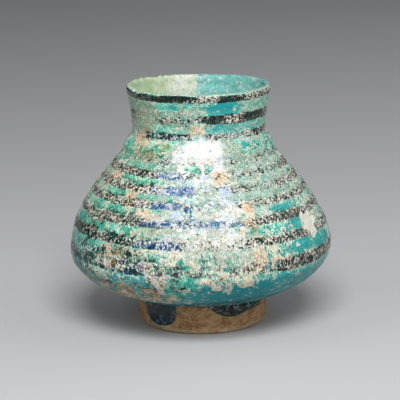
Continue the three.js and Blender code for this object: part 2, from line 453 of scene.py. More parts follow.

# The front's wear, placed one by one. A later patch paints over an earlier one.
# Crust, film and white patches on the collar's front and the middle of the front also paint a highlight
# there, and deep patches on the underside and the left flank also paint shade.
PAINTS = {
    # Crust: real crust, and a painted highlight on the collar's front and the middle of the front.
    Field.CRUST_AND_HIGHLIGHT: Paint(0.42, (
        (-50, 107, 54, 11, 0.36), (46, 107, 42, 11, 0.2), (-27, 114, 11, 2.8, 0.08),
        (-8, 113, 8, 3.2, 0.34), (19, 113.3, 15, 3.3, 0.02), (46, 113, 11, 3, 0.3),
        (11, 107.4, 6, 2.3, 0.08), (26, 107.4, 5, 2.3, 0.5), (-16, 107.4, 20, 4, 0.42),
        (52, 107.4, 14, 2.2, 0.08), (0, 102.2, 8, 3.6, 0.72), (34, 106.8, 3.2, 1.5, 0.9),
        (-28, 102.5, 15, 2.1, 0.2), (21, 102.6, 13, 2.1, 0.15), (52, 102.6, 15, 2.1, 0.26),
        (34, 98.4, 18, 2.2, 0.38), (-30, 98.5, 22, 2.4, 0.24), (9.5, 98.5, 3, 1.6, 0.1),
        (-58, 94, 15, 5, 0.58), (-56, 97.4, 7, 4, 0.68), (-48, 94, 10, 3, 0.52), (-69, 92.8, 6, 2.3, 0.0),
        (-30, 92.5, 14, 4.5, 0.44), (-44, 90.2, 12, 2.2, 0.2), (-34, 93.4, 6, 1.4, 0.16),
        (-66, 90.5, 7, 2.4, 0.1), (50, 93.4, 20, 3.6, 0.3), (24, 93, 7, 4.5, 0.56), (3, 92, 15, 4.6, 1.15),
        (-14, 91, 8, 4, 0.72), (-16, 96.7, 4, 1.3, 0.05), (-50, 64, 25, 14, 0.5), (-46, 38, 38, 13, 0.34),
        (-74, 51, 8, 8, 0.14), (2, 72, 26, 16, 0.55), (6, 51, 24, 8, 0.6), (-42, 87.6, 21, 2.4, 0.42),
        (0, 85.6, 17, 5.4, 1.3), (-18, 86, 5, 4, 0.66), (-10.5, 85.6, 4.0, 3.6, 1.05),
        (-4.8, 83.9, 3.0, 3.6, 0.03), (5.4, 84.0, 3.0, 2.9, 0.03), (0.4, 84.8, 1.7, 4.2, 1.15),
        (11.5, 85.0, 3.2, 4.0, 1.1), (34, 86, 17, 4.3, 0.5), (39, 81, 6, 2.2, 0.7), (42, 81, 14, 2.4, 0.42),
        (58, 83.6, 12, 1.6, 0.5), (50, 75, 24, 4.5, 0.46), (14, 80.6, 7, 3.6, 0.88),
        (-40, 84.4, 12, 1.3, 0.05), (-24, 84.5, 9, 1.1, 0.3), (-44, 78.7, 20, 1.5, 0.2),
        (-54, 72.4, 13, 1.6, 0.1), (-27, 72.5, 10, 1.5, 0.24), (-52, 65.5, 22, 1.7, 0.14),
        (-60, 57.2, 15, 2.3, 0.14), (-40, 57.4, 9, 1.8, 0.34), (-20, 57.5, 10, 2, 0.5),
        (-17, 81.6, 9, 1.8, 0.36), (-12, 75.4, 7.5, 1.8, 0.25), (-17, 69.3, 6, 2, 0.3),
        (-26, 61, 4.5, 1.6, 0.15), (-40, 71.5, 3, 5, 0.66), (-27, 64.8, 6, 2.6, 0.66),
        (-6, 65.6, 9, 1.6, 0.75), (-1, 58, 12, 2.4, 0.72), (9, 54.5, 8, 4, 0.8), (17, 66, 5, 5, 0.78),
        (26, 62, 3.4, 6, 0.85), (24, 68, 3.4, 2.4, 0.9), (14, 65.1, 5.3, 4.7, 1.02),
        (6, 65.7, 4.9, 2.0, 0.8), (27, 61.8, 2.5, 2.7, 0.8), (22, 58.3, 2.5, 2.0, 0.8),
        (19, 63.9, 4.3, 1.3, 0.5), (10, 61.9, 4.7, 0.9, 0.3), (19, 61.1, 3.3, 1.0, 0.26),
        (-3, 66.8, 1.5, 4.0, 0.34), (11, 54.6, 6.9, 4.1, 0.84), (9, 69.5, 2.9, 1.3, 0.4),
        (47, 65.4, 9, 1.6, 0.14), (49, 61.8, 10, 1.6, 0.2), (66, 63, 6, 9, 0.6), (50, 57.2, 7, 2, 0.1),
        (26, 57.6, 4, 1.6, 0.2), (38, 57, 6, 2, 0.36), (46, 52.6, 12, 1.8, 0.26), (58, 47.2, 19, 3.0, 0.04),
        (48, 41, 22, 3.2, 0.26), (31, 46, 3, 2.2, 0.25), (24.5, 45, 3.4, 6, 0.78), (34, 45, 3, 5, 0.6),
        (-38, 47, 20, 4, 0.36), (-64, 47.5, 6, 3.5, 0.12), (70, 72, 7, 12, 0.55), (-18, 52.3, 10, 2, 0.34),
        (-41, 52.4, 10, 2, 0.28), (-42, 43, 5, 4, 0.9), (-31, 42, 6.5, 3.4, 0.3), (-21, 39, 5, 2.4, 0.85),
        (-13, 47, 5, 3, 0.74), (8, 42, 20, 5.5, 0.52), (-6, 38.5, 10, 4, 0.45), (0, 26, 180, 9.5, 0.26),
        (-68, 30, 18, 9, 0.12), (70, 32, 16, 8, 0.1), (-35, 35.6, 10, 3.4, 0.1), (-54, 34, 9, 4, 0.36),
        (-8, 33, 9, 7, 0.3), (-20, 31.5, 3, 4, 0.66), (-63, 78.5, 10.1, 2.2, 0.8),
        (-40, 73.6, 5.2, 2.9, 0.8), (-57, 61.2, 4.6, 2.7, 0.85), (-23, 63.4, 5.2, 1.7, 0.8),
        (-42, 41.5, 4.5, 2.7, 0.9), (-21, 40.4, 3.8, 2.7, 0.85), (-58, 53.4, 5.5, 4.0, 0.2),
        (-40, 53.6, 5.7, 2.1, 0.2), (-30, 42.7, 4.8, 2.7, 0.16), (-49, 40.9, 2.3, 1.9, 0.16),
        (-37, 36.2, 6.3, 2.1, 0.1), (-38, 26.5, 28, 6.5, 0.56), (-33, 28.5, 10, 4, 0.64),
        (45, 33, 24, 4, 0.14), (50, 26, 26, 6, 0.12), (14, 27.4, 19, 6.6, 0.0), (7.5, 34.5, 4, 3.4, 0.55),
        (10.5, 31.8, 2, 3.4, 0.56), (20, 35.0, 4.4, 2.6, 0.56), (0, 15, 180, 6, 0.06),
        (0, 118, 180, 2.6, 0.07), (4, 117, 9, 2.4, 0.36), (62, 117, 26, 2.6, 0.42),
    )),
    Field.TAN: Paint(0.35, (
        (-55, 107, 24, 12, 0.7), (0, 102.2, 8, 3.8, 0.85), (2, 113, 3, 4, 0.6), (34, 106.8, 3.4, 1.6, 0.65),
        (40, 98, 34, 3, 0.1), (-58, 94, 14, 5, 0.8), (-54, 96, 11, 5, 1.15), (-56, 93, 3, 1.3, 1.0),
        (-46, 93.4, 5, 1.6, 0.95), (-30, 92, 12, 4, 0.3), (-69, 92.8, 6, 2.3, 0.0), (0, 90, 20, 8, 0.05),
        (39, 86.4, 4, 1.8, 0.7), (14, 80.6, 7, 3.6, 0.9), (-66, 78, 6, 1.6, 0.85),
        (-44, 90.2, 12, 2.6, 1.0), (-32, 93.4, 8, 2, 1.0), (-40, 71.5, 4, 5.5, 0.8), (-28, 64.8, 8, 3, 0.7),
        (-55, 61, 12, 2, 0.6), (6, 66, 16, 12, 0.08), (25, 63, 4.5, 9, 0.92), (10, 50, 14, 6, 0.35),
        (22, 58.3, 2.8, 2.3, 0.78), (14, 65.1, 5.6, 4.7, 0.0), (11, 54.6, 6.3, 4.0, 0.3),
        (46, 74, 26, 14, 0.15), (25, 45, 4, 6, 0.8), (34, 45, 4, 5, 0.75), (56, 41, 8, 3, 0.55),
        (26, 67.7, 4.7, 2.1, 1.0), (27, 61.8, 2.5, 3.3, 0.85), (-44, 38, 28, 9, 0.6),
        (-40, 43.5, 10, 7, 1.0), (-21, 38.8, 6, 3, 1.0), (-36, 27, 26, 6, 1.0), (-63, 78.5, 10.1, 2.2, 0.9),
        (-40, 73.6, 5.2, 2.9, 0.85), (-57, 61.2, 4.3, 2.4, 0.45), (-42, 41.5, 4.5, 2.7, 1.0),
        (-21, 40.4, 3.8, 2.7, 0.95), (14, 33, 14, 4, 0.5),
    )),
    Field.GREEN: Paint(0.45, (
        (-52, 66, 40, 54, 0.8), (48, 66, 44, 54, 0.16), (-66, 110, 18, 9, 1.0), (-44, 112, 16, 4, 0.9),
        (66, 108, 14, 11, 0.8), (-27, 114, 12, 3, 0.62), (20, 113, 16, 4, 0.0), (44, 113, 10, 4, 0.5),
        (30, 92, 40, 4, 0.3), (-4, 85, 12, 4, 1.0), (-20, 97, 10, 2, 0.3), (-8, 37, 14, 9, 0.85),
        (-45, 42, 22, 6, 0.5), (-35, 35.6, 11, 4, 0.05), (20, 28, 24, 7, 0.12),
    )),
    Field.BLUE: Paint(0.0, (
        (-18, 81.6, 9, 2, 0.62), (-25, 87.3, 3.4, 1.6, 0.5), (-30, 98.8, 19, 2.2, 0.42),
        (-14, 92, 3, 1.6, 0.55), (-14, 75.4, 12, 2.4, 0.85), (-26, 75.6, 5, 1.6, 0.5),
        (-16, 69.4, 9, 2.4, 0.8), (-3, 67.5, 3, 4, 0.6), (-15, 61.4, 10, 2.4, 0.6), (-27, 61, 5, 1.8, 0.6),
        (-21, 52.6, 12, 2.4, 0.6), (-38, 42, 24, 5, 0.36), (-12, 42, 8, 5, 0.35), (-35, 36, 10, 3.4, 0.35),
        (-30, 42.7, 4.5, 2.4, 0.5), (15, 75, 4, 2, 0.65), (8, 69, 14, 3, 0.36), (10, 61.6, 13, 2, 0.62),
        (32, 98.6, 12, 2.4, 0.42), (6, 41.6, 8, 3, 0.4), (29, 42, 3.4, 2.4, 0.45),
        (-3, 66.5, 1.5, 4.0, 0.7), (10, 61.9, 4.7, 1.1, 0.72), (19, 61.1, 3.5, 1.2, 0.35),
        (15, 75.0, 3.2, 1.7, 0.7), (42, 47, 2, 1.8, 0.5),
    )),
    # Film: real haze, and a painted highlight on the collar's front and the middle of the front.
    Field.HAZE_AND_HIGHLIGHT: Paint(0.12, (
        (-50, 108, 50, 9, 0.8), (-28, 114, 10, 2.8, 0.1), (-52, 107.4, 16, 2.4, 0.85),
        (-16, 107.4, 19, 2.4, 0.45), (-30, 98.8, 18, 2.6, 0.25), (-69, 92.8, 6, 2.3, 0.0),
        (-28, 102.4, 15, 2.1, 0.12), (48, 102.6, 20, 2.1, 0.1), (52, 104, 26, 12, 0.25),
        (41, 113, 8, 4, 0.45), (19, 113.3, 15, 3.3, 0.0), (0, 89, 22, 10, 0.9), (-4.8, 83.9, 3.2, 3.8, 0.0),
        (5.4, 84.0, 3.2, 3.1, 0.0), (0.4, 84.8, 1.6, 4.0, 0.8), (26, 93, 9, 5, 0.8),
        (52, 93.4, 18, 3.4, 0.35), (-40, 87, 20, 4, 0.5), (42, 79, 26, 12, 0.72), (4, 69, 26, 16, 0.68),
        (14, 80.6, 6, 3.2, 0.25), (25, 64, 3.6, 6, 0.1), (10, 51, 20, 9, 0.55), (14, 65.1, 5.6, 4.8, 0.9),
        (10, 61.9, 4.7, 0.9, 0.2), (19, 61.1, 3.5, 1.1, 0.15), (-3, 66.8, 1.5, 4.0, 0.2),
        (26, 61.3, 2.9, 4.0, 0.15), (-20, 57, 14, 3, 0.55), (-24, 72.5, 14, 1.6, 0.5), (56, 47, 18, 4, 0.0),
        (50, 57, 8, 10, 0.1), (0, 30, 180, 9, -0.1),
    )),
    # White: real white film, and a painted highlight on the collar's front and the middle of the front.
    Field.WHITE: Paint(0.25, (
        (-55, 105, 38, 14, 0.05), (30, 101, 60, 12, 0.4), (6, 66, 26, 19, 0.9), (1, 89, 20, 10, 1.55),
        (-24, 74, 10, 14, 0.6), (44, 76, 26, 14, 0.5), (46, 50, 20, 12, 0.4), (8, 49, 14, 6, 0.5),
        (14, 65.1, 6.3, 5.3, 1.25), (11, 54.6, 7.6, 4.4, 1.0), (26, 60.7, 3.6, 4.7, 0.3),
        (0, 30, 180, 10, 0.1),
    )),
    # Deep: thick glaze pooled low, and painted shade on the underside and the left flank.
    Field.DEEP_AND_SHADE: Paint(0.0, (
        (20, 102.5, 62, 2.3, 0.26), (0, 22, 180, 13, 0.7), (14, 28, 22, 7, 0.75), (0, 17.5, 180, 6.5, 1.0),
        (-66, 36, 9, 8, 0.6), (-76, 50, 9, 8, 0.5), (-40, 26, 40, 5, 0.6), (-16, 96.7, 4, 1.4, 0.6),
        (9.5, 98.5, 3, 1.7, 0.7), (-8, 34, 9, 7, 0.35),
    )),
    Field.MOSAIC: Paint(0.0, (
        (-44, 62, 34, 12, 0.3), (-48, 37, 42, 13.5, 1.0), (-6, 70, 8, 12, 0.4), (0, 20, 180, 4, 0.0),
    )),
}
# How much of each painted ring is left, and slip that strayed from the rings.
KEPT_SLIP = Paint(1.0, (
    (-54, 107.4, 20, 4, 0.2), (-75, 107.4, 13, 4, 0.8), (-16, 107.4, 21, 3.4, 0.48), (-70, 99, 20, 3, 0.25),
    (-30, 99, 19, 3, 0.74), (0, 99, 7, 3, 0.2), (34, 98.6, 15, 3, 0.6), (0, 87.4, 180, 2.4, 0.4),
    (44, 87.4, 28, 2.4, 0.54), (-26, 87.4, 6, 2, 0.75), (0, 81.7, 22, 3, 0.35), (-16, 81.7, 9, 3, 0.8),
    (40, 81.7, 26, 3, 0.56), (6, 75.5, 10, 3, 0.45), (36, 75.5, 22, 3, 0.6), (8, 69.3, 14, 3, 0.48),
    (32, 69.3, 10, 3, 0.62), (12, 61.8, 17, 3, 0.6), (5, 52.6, 14, 3, 0.42), (2, 41, 26, 5, 0.52),
    (12, 41, 12, 5, 0.46), (29, 41, 6, 5, 0.5), (-46, 41, 28, 5, 0.58), (-31, 41.5, 6, 5, 0.74),
))
STRAY_SLIP = Paint(0.0, (
    (-50, 66, 23, 21, 0.42), (-42, 84.5, 15, 0.9, 0.0), (-42, 79.5, 15, 0.8, 0.0),
    (-44, 72.9, 26, 1.0, 0.0), (-54, 66.4, 20, 1.2, 0.1), (-36, 57.8, 14, 1.9, 0.1),
    (-18, 107.4, 18, 4.2, 0.34), (-44, 46.4, 26, 3.6, 0.46), (-44, 36.5, 36, 7, 0.4),
    (-36, 35.6, 9, 3, 0.15), (-10, 35, 12, 6, 0.36), (8, 38, 12, 4, 0.3), (-3, 66.7, 1.6, 3.8, 0.8),
    (-58, 53.4, 4.7, 3.5, 0.75), (-40, 53.6, 4.8, 1.7, 0.7), (-30, 42.7, 4.5, 2.4, 0.85),
    (-49, 40.9, 2.1, 1.7, 0.8),
))


@dataclass(frozen=True)
class WearAndLightMap:
    """Where the glaze is clean, crusted, stained or lost, and where a highlight and shade are painted on it.

    The back isn't known. It repeats the front's patches, mirrored and pushed about by slow noise, without the
    front's flakes, and with less crust and no white film.
    """

    flakes: tuple[tuple[Point, ...], ...] = (
        (
            (58.6, 62.0), (60.0, 59.8), (64.6, 61.2), (64.4, 58.6), (68.2, 57.4), (66.0, 55.0), (64.6, 53.6),
            (65.0, 50.8), (61.2, 48.6), (58.0, 50.6), (58.2, 53.0), (54.0, 54.2), (56.6, 56.4), (55.0, 59.6),
        ),
        ((45.6, 47.6), (48.6, 47.8), (47.2, 50.0)),
    )
    flake_ragged: float = 0.35
    warp: float = 2.3
    warp_cell: float = 6.0
    fine_warp: float = 1.3
    fine_cell: float = 1.6
    sideways_warp: float = 1.5
    upwards_warp: float = 0.4
    soft_edge: float = 0.84
    lip_wear: tuple[tuple[Field, float], ...] = (
        (Field.CRUST_AND_HIGHLIGHT, 0.66), (Field.TAN, 0.1), (Field.HAZE_AND_HIGHLIGHT, 0.6), (Field.WHITE, 0.3),
    )
    clumps: float = 0.14
    drips: float = 0.45
    stains: float = 0.3
    greens: float = 0.25
    back_most: float = 0.6
    back_push: float = 16.0

    def folded(self, azimuth: Array, points: Array) -> tuple[Array, Array]:
        """The front azimuth whose wear a place takes, and how much it is the front.

        The back mirrors the front about the sides, and slow noise pushes it up to 16 degrees.
        """
        around = wrapped(azimuth)
        behind = smoothstep(88.0, 120.0, np.abs(around))
        mirrored = np.where(np.abs(around) > 90.0, np.sign(around) * 180.0 - around, around)
        return mirrored + self.back_push * behind * lattice_noise(points, 34.0, Seed.BACK), 1.0 - behind

    def painted(self, paint: Paint, azimuth: Array, height: Array) -> Array:
        """Paints patches over a ground value.

        A patch covers where |x|^3 + |y|^3 < 1, with x and y the distances from its middle in half sizes,
        and its edge is soft.

        Args:
            paint: the ground and its patches, in the order they are laid on.
            azimuth: warped azimuths.
            height: warped heights.

        Returns:
            The field's values.
        """
        value = np.full(azimuth.shape, paint.ground)
        for patch in itertools.starmap(Patch, paint.patches):
            away = wrapped(azimuth - patch.azimuth)
            above = height - patch.height
            reach = np.abs(away / patch.half_width) ** 3 + np.abs(above / patch.half_height) ** 3
            cover = 1.0 - smoothstep(1.0 - self.soft_edge, 1.0 + self.soft_edge, reach)
            value += (patch.value - value) * cover
        return value

    def slip(self, azimuth: Array, arc: Array) -> Array:
        """How much black slip lies at a place: 1 inside a band, fading over its edge."""
        found = np.zeros(np.broadcast(azimuth, arc).shape)
        for band in (*BODY_BANDS, *NECK_BANDS):
            lower, upper = band.edges(azimuth)
            found = np.maximum(found, smoothstep(-0.9, 0.7, np.minimum(arc - lower, upper - arc)))
        crown = PATH.lip[0] + RIM_BAND_CROWN
        inside = np.minimum(arc - PATH.outside_at(RIM_BAND_LOWER), crown - arc)
        return np.maximum(found, smoothstep(-0.3, 0.3, inside))

    @staticmethod
    def rise(height: Array) -> Array:
        """How high a place lies between two bands: 0 on top of one and 1 under the next."""
        lower, upper = np.array([(band.lower, band.upper) for band in BODY_BANDS]).T
        edges = np.stack([lower, (lower + upper) / 2, upper], axis=1).ravel()
        heights = np.concatenate([[24.0], edges, [97.0]])
        return np.interp(height, heights, [0.0, *np.tile([1.0, 0.5, 0.0], len(BODY_BANDS)), 1.0])

    @staticmethod
    def inside_polygon(corners: Sequence[Point], azimuth: Array, height: Array) -> Array:
        """Whether places lie inside a polygon.

        A line to the right of each place inside crosses the polygon's sides an odd number of times.
        """
        odd = np.zeros(azimuth.shape, bool)
        for (x0, y0), (x1, y1) in zip(corners, (*corners[1:], corners[0])):
            crosses = (y0 > height) != (y1 > height)
            span = y1 - y0 if y1 != y0 else 1.0
            odd ^= crosses & (azimuth < x0 + (height - y0) / span * (x1 - x0))
        return odd

    def flaked(self, points: Array, azimuth: Array, height: Array, degree: Array) -> Array:
        """1 inside the flakes, whose edges are ragged, and 0 elsewhere."""
        ragged = self.flake_ragged * lattice_noise(points, 1.1, Seed.FLAKES)
        found = np.zeros(azimuth.shape, bool)
        for corners in self.flakes:
            found |= self.inside_polygon(corners, azimuth + ragged * degree, height + ragged)
        return np.where(np.abs(azimuth) < 90.0, found, False).astype(float)

    def warped(self, points: Array, broad: Seed, fine: Seed) -> Array:
        """How far the patches are pushed from their places, by a broad noise and a fine one."""
        pushed = self.warp * fractal_noise(points, self.warp_cell, broad)
        return pushed + self.fine_warp * lattice_noise(points, self.fine_cell, fine)

    def fields(self, arc: Array, azimuth: Array) -> dict[Field, Array]:
        """The wear at places on the outside, with the highlight and shade painted in it.

        Args:
            arc: lengths along the path.
            azimuth: of the same shape.

        Returns:
            Each field's values, of that shape.
        """
        place = PATH.places(arc)
        height = place.height
        points = place.points(azimuth)
        front, fronted = self.folded(azimuth, points)
        degree = math.degrees(1.0) / np.maximum(place.radius, 20.0)
        upwards = self.warped(points, Seed.UPWARDS, Seed.UPWARDS_FINE)
        sideways = self.sideways_warp * self.warped(points, Seed.SIDEWAYS, Seed.SIDEWAYS_FINE)
        pushed = front + sideways * degree, height + self.upwards_warp * upwards
        found = {key: self.painted(paint, *pushed) for key, paint in PAINTS.items()}
        kept = self.slip(azimuth, arc) * self.painted(KEPT_SLIP, *pushed)
        found[Field.SLIP] = np.maximum(kept, self.painted(STRAY_SLIP, *pushed))
        found[Field.RISE] = self.rise(height + 0.3 * upwards)
        found[Field.FLAKE] = self.flaked(points, azimuth, height, degree)
        lip = smoothstep(0.0, 0.4, arc - PATH.lip[0] - RIM_BAND_CROWN)
        for key, value in self.lip_wear:
            found[key] += (value - found[key]) * lip
        low = smoothstep(24.0, 28.0, height) * (1.0 - smoothstep(44.0, 49.0, height))
        drips = self.drips * low
        dripped = fractal_noise(points * np.array([1.0, 1.0, 0.5]), 4.4, Seed.DRIPS)
        clumps = self.clumps * fractal_noise(points * np.array([1.0, 1.0, 1.5]), 3.4, Seed.CLUMPS)
        clumps += drips * smoothstep(0.05, 0.3, found[Field.CRUST_AND_HIGHLIGHT]) * dripped
        found[Field.CRUST_AND_HIGHLIGHT] = np.clip(found[Field.CRUST_AND_HIGHLIGHT] + clumps, 0.0, 1.5)
        for key in (Field.CRUST_AND_HIGHLIGHT, Field.WHITE):
            found[key] = np.minimum(found[key], self.back_most + fronted)
        stains = self.stains * fractal_noise(points, 4.0, Seed.STAINS) + drips * dripped
        found[Field.TAN] = np.clip(found[Field.TAN] + stains, 0.0, 1.0)
        greens = self.greens * fractal_noise(points, 7.0, Seed.GREENS)
        found[Field.GREEN] = np.clip(found[Field.GREEN] + greens, 0.0, 1.0)
        return found


WEAR_AND_LIGHT = WearAndLightMap()


@dataclass(frozen=True)
class Relief:
    """How high the outer surface stands over the plain outline."""

    band: float = 0.12
    crust: float = 0.22
    flake: float = -0.3
    turning: float = 0.07
    turning_pitch: float = 4.2
    turning_drift: float = 0.8
    ragged: float = 0.55
    lumps: float = 0.1
    knobs: float = 0.55

    def outside(self, arc: Array, azimuth: Array, wear: dict[Field, Array]) -> Array:
        """The outer relief: a low ridge on each band, lumps of crust, sunk flakes, and the potter's rings.

        Args:
            arc: lengths along the path.
            azimuth: of the same shape.
            wear: the fields there.

        Returns:
            Millimetres above the outline.
        """
        place = PATH.places(arc)
        points = place.points(azimuth)
        ragged = self.ragged * fractal_noise(points, 1.5, Seed.RAGGED, 2)
        turn = self.turning_drift * np.sin(np.radians(azimuth))
        turn = 2 * math.pi * arc / self.turning_pitch + turn
        rings = np.sin(turn + lattice_noise(points, 30.0, Seed.TURNING))
        height = self.band * smoothstep(0.0, 1.0, wear[Field.SLIP])
        height += self.crust * smoothstep(0.1, 0.9, wear[Field.CRUST_AND_HIGHLIGHT] + ragged) * (1.0 - wear[Field.FLAKE])
        height += self.turning * rings + self.lumps * lattice_noise(points, 9.0, Seed.LUMPS)
        height += self.flake * wear[Field.FLAKE]
        near_lip = smoothstep(116.6, 118.0, place.height)
        left = smoothstep(-165.0, -150.0, azimuth) * (1.0 - smoothstep(-45.0, -25.0, azimuth))
        return height + self.knobs * near_lip * left * lattice_noise(points, 1.8, Seed.KNOBS)


RELIEF = Relief()


@dataclass
class Rings:
    """Rings of a turned piece, in the order of its closed profile."""

    arc: Array
    depth: Array
    relief: Array

    @staticmethod
    def span(start: float | Array, stop: float | Array, pitch: float, columns: int, depth: float = 0.0,
             relief: float = 0.0) -> "Rings":
        """Rings spread evenly along the path from start to stop.

        Args:
            start: length along the path, one value or one for each column.
            stop: the other end.
            pitch: about how far apart the rings lie.
            columns: how many points a ring has.
            depth: under the surface.
            relief: how much of the surface's relief they take, 0 or 1.

        Returns:
            The rings.
        """
        start = np.broadcast_to(start, columns)
        stop = np.broadcast_to(stop, columns)
        count = max(2, int(math.ceil(float(np.abs(stop - start).mean()) / pitch)) + 1)
        share = np.linspace(0.0, 1.0, count)[:, None]
        arc = start * (1.0 - share) + stop * share
        return Rings(arc, np.full(count, float(depth)), np.full(count, float(relief)))

    @staticmethod
    def joined(parts: Sequence["Rings"]) -> "Rings":
        """One after another."""
        keys = ("arc", "depth", "relief")
        return Rings(*(np.concatenate([getattr(part, key) for part in parts]) for key in keys))


def azimuths(columns: int) -> Array:
    """Even azimuths round the jar, from the back round by the left."""
    return -180.0 + 360.0 * np.arange(columns) / columns


def strips_for(columns: int, around: float, along: float) -> int:
    """How many strips a piece's own map is cut into, so that its pixels come out about square."""
    wanted = math.sqrt(max(around / max(along, 0.1), 1.0))
    choices = [count for count in range(1, 13) if columns % count == 0]
    return min(choices, key=lambda count: abs(count - wanted))


def bake_map(points: Array, shown: Array, corner_ring: Array, corner_column: Array) -> Array:
    """The place of each face's corners on the piece's own map.

    The map has the grid's rings across it, cut into strips. Rings that don't show get a tenth of the room.

    Args:
        points: rings, points and coordinates, in millimetres.
        shown: whether each ring shows.
        corner_ring: which ring each corner of each face is on.
        corner_column: which column each is on.

    Returns:
        u and v, last.
    """
    bands, columns = corner_ring.shape[:2]
    margin = 0.006
    least_room = 0.02
    hidden_share = 0.1
    steps = np.linalg.norm(np.diff(points[:, 0], axis=0, append=points[:1, 0]), axis=1)[:bands]
    seen = shown & np.roll(shown, -1)
    weight = (steps + least_room) * np.where(seen[:bands], 1.0, hidden_share)
    rise = np.concatenate([[0.0], np.cumsum(weight)]) / weight.sum()
    around = np.linalg.norm(np.diff(points, axis=1), axis=2).sum(axis=1).max()
    strips = strips_for(columns, around, weight.sum())
    per_strip = columns // strips
    strip = corner_column[..., :1] // per_strip
    across = (corner_column - strip * per_strip) / per_strip
    u = margin + (1 - 2 * margin) * across
    v = (strip + margin * strips + (1 - 2 * margin * strips) * rise[corner_ring]) / strips
    return np.stack([u, v], axis=-1)


def closed_mesh(name: str, points: Array, shown: Array, poles: bool = False) -> bpy.types.Object:
    """A closed mesh from a grid of rings, with its own map for bakes.

    Neighbouring rings are joined by quads. The last ring joins the first again, or the first and last rings
    are single points, the poles, joined by triangles. If the faces come out inwards, each one's corners are
    taken the other way round from its first.

    Args:
        name: the object's name.
        points: rings, points and coordinates, in millimetres.
        shown: whether each ring shows.
        poles: whether the first and last rings are single points.

    Returns:
        The object, linked to the scene.
    """
    rings, columns = points.shape[:2]
    lookup = np.arange(rings * columns).reshape(rings, columns)
    vertices = points.reshape(-1, 3)
    bands = rings
    if poles:
        bands = rings - 1
        lookup[1:-1] = lookup[:-2] + 1
        lookup[0] = 0
        lookup[-1] = 1 + (rings - 2) * columns
        vertices = np.concatenate([points[:1, 0], points[1:-1].reshape(-1, 3), points[-1:, 0]])
    ring, column = np.meshgrid(np.arange(bands), np.arange(columns), indexing="ij")
    corner_ring = np.stack([ring, ring, ring + 1, ring + 1], axis=-1)
    corner_column = np.stack([column, column + 1, column + 1, column], axis=-1)
    keep = np.ones(corner_ring.shape, bool)
    if poles:
        keep[0, :, 1] = False
        keep[-1, :, 3] = False
    loops = lookup[corner_ring % rings, corner_column % columns][keep]
    maps = bake_map(points, shown, corner_ring, corner_column)[keep]
    sizes = keep.sum(axis=-1).ravel()
    starts = np.concatenate([[0], np.cumsum(sizes)[:-1]])
    if signed_volume(vertices, loops, starts, sizes) < 0:
        start, size = np.repeat(starts, sizes), np.repeat(sizes, sizes)
        order = start + (size + start - np.arange(len(loops))) % size
        loops, maps = loops[order], maps[order]
    mesh = bpy.data.meshes.new(name)
    mesh.vertices.add(len(vertices))
    mesh.vertices.foreach_set("co", (vertices * MM).astype(np.float32).ravel())
    mesh.loops.add(len(loops))
    mesh.loops.foreach_set("vertex_index", loops.astype(np.int32))
    mesh.polygons.add(len(sizes))
    mesh.polygons.foreach_set("loop_start", starts.astype(np.int32))
    mesh.uv_layers.new(name=BAKE_MAP).uv.foreach_set("vector", maps.astype(np.float32).ravel())
    mesh.update(calc_edges=True)
    mesh.polygons.foreach_set("use_smooth", np.ones(len(sizes), bool))
    mesh.set_sharp_from_angle(angle=math.radians(SHARP_ANGLE))
    return linked(name, mesh)


def linked(name: str, data: bpy.types.ID) -> bpy.types.Object:
    """A new object for this mesh, light or camera, in the scene."""
    piece = bpy.data.objects.new(name, data)
    bpy.context.scene.collection.objects.link(piece)
    return piece


def signed_volume(vertices: Array, loops: Array, starts: Array, sizes: Array) -> float:
    """Volume inside a mesh, negative if its faces point inwards: a . (b x c) / 6 over a fan of each face."""
    a, b, c = (vertices[loops[starts + step]] for step in range(3))
    total = np.einsum("ij,ij->i", a, np.cross(b, c)).sum()
    four = sizes == 4
    d = vertices[loops[starts[four] + 3]]
    total += np.einsum("ij,ij->i", a[four], np.cross(c[four], d)).sum()
    return float(total) / 6.0


def write_fields(piece: bpy.types.Object, fields: dict[Field, Array]) -> None:
    """Stores fields on a piece's vertices, for its finish to read.

    Args:
        piece: the object.
        fields: each field's values, of the piece's rings and columns.
    """
    count = len(piece.data.vertices)
    for key, values in fields.items():
        flat = values.reshape(-1)
        if flat.size != count:
            flat = np.concatenate([values[0, :1], values[1:-1].reshape(-1), values[-1, :1]])
        attribute = piece.data.attributes.new(key.value, "FLOAT", "POINT")
        attribute.data.foreach_set("value", flat.astype(np.float32))


def linear(colour: str) -> tuple[float, float, float, float]:
    """An sRGB hex colour as linear numbers with alpha 1."""
    parts = [int(colour[step : step + 2], 16) / 255.0 for step in (1, 3, 5)]
    parts = [part / 12.92 if part <= 0.04045 else ((part + 0.055) / 1.055) ** 2.4 for part in parts]
    return (*parts, 1.0)


def add_node(tree: bpy.types.NodeTree, kind: str, inputs: dict[int | str, Any] | None = None,
             **settings: Any) -> bpy.types.Node:
    """Adds a node with its settings, and its inputs set or linked.

    Args:
        tree: the material's nodes.
        kind: the node's type, without ShaderNode.
        inputs: a value, a hex colour or another node's output for each input, by name or number.
        settings: the node's own properties.

    Returns:
        The node.
    """
    node = tree.nodes.new("ShaderNode" + kind)
    for key, value in settings.items():
        setattr(node, key, value)
    for key, value in (inputs or {}).items():
        if isinstance(value, bpy.types.NodeSocket):
            tree.links.new(value, node.inputs[key])
        elif isinstance(value, str):
            node.inputs[key].default_value = linear(value)
        else:
            node.inputs[key].default_value = value
    return node


MIX_FACTOR = 0
MIX_NUMBERS = (2, 3)
MIX_VECTORS = (4, 5)
MIX_COLOURS = (6, 7)
MIX_VECTOR_OUT = 1
MIX_COLOUR_OUT = 2


def grain(size: float) -> float:
    """A noise texture's scale for blotches about this many millimetres apart, on coordinates in metres."""
    return 1.0 / (size * MM)


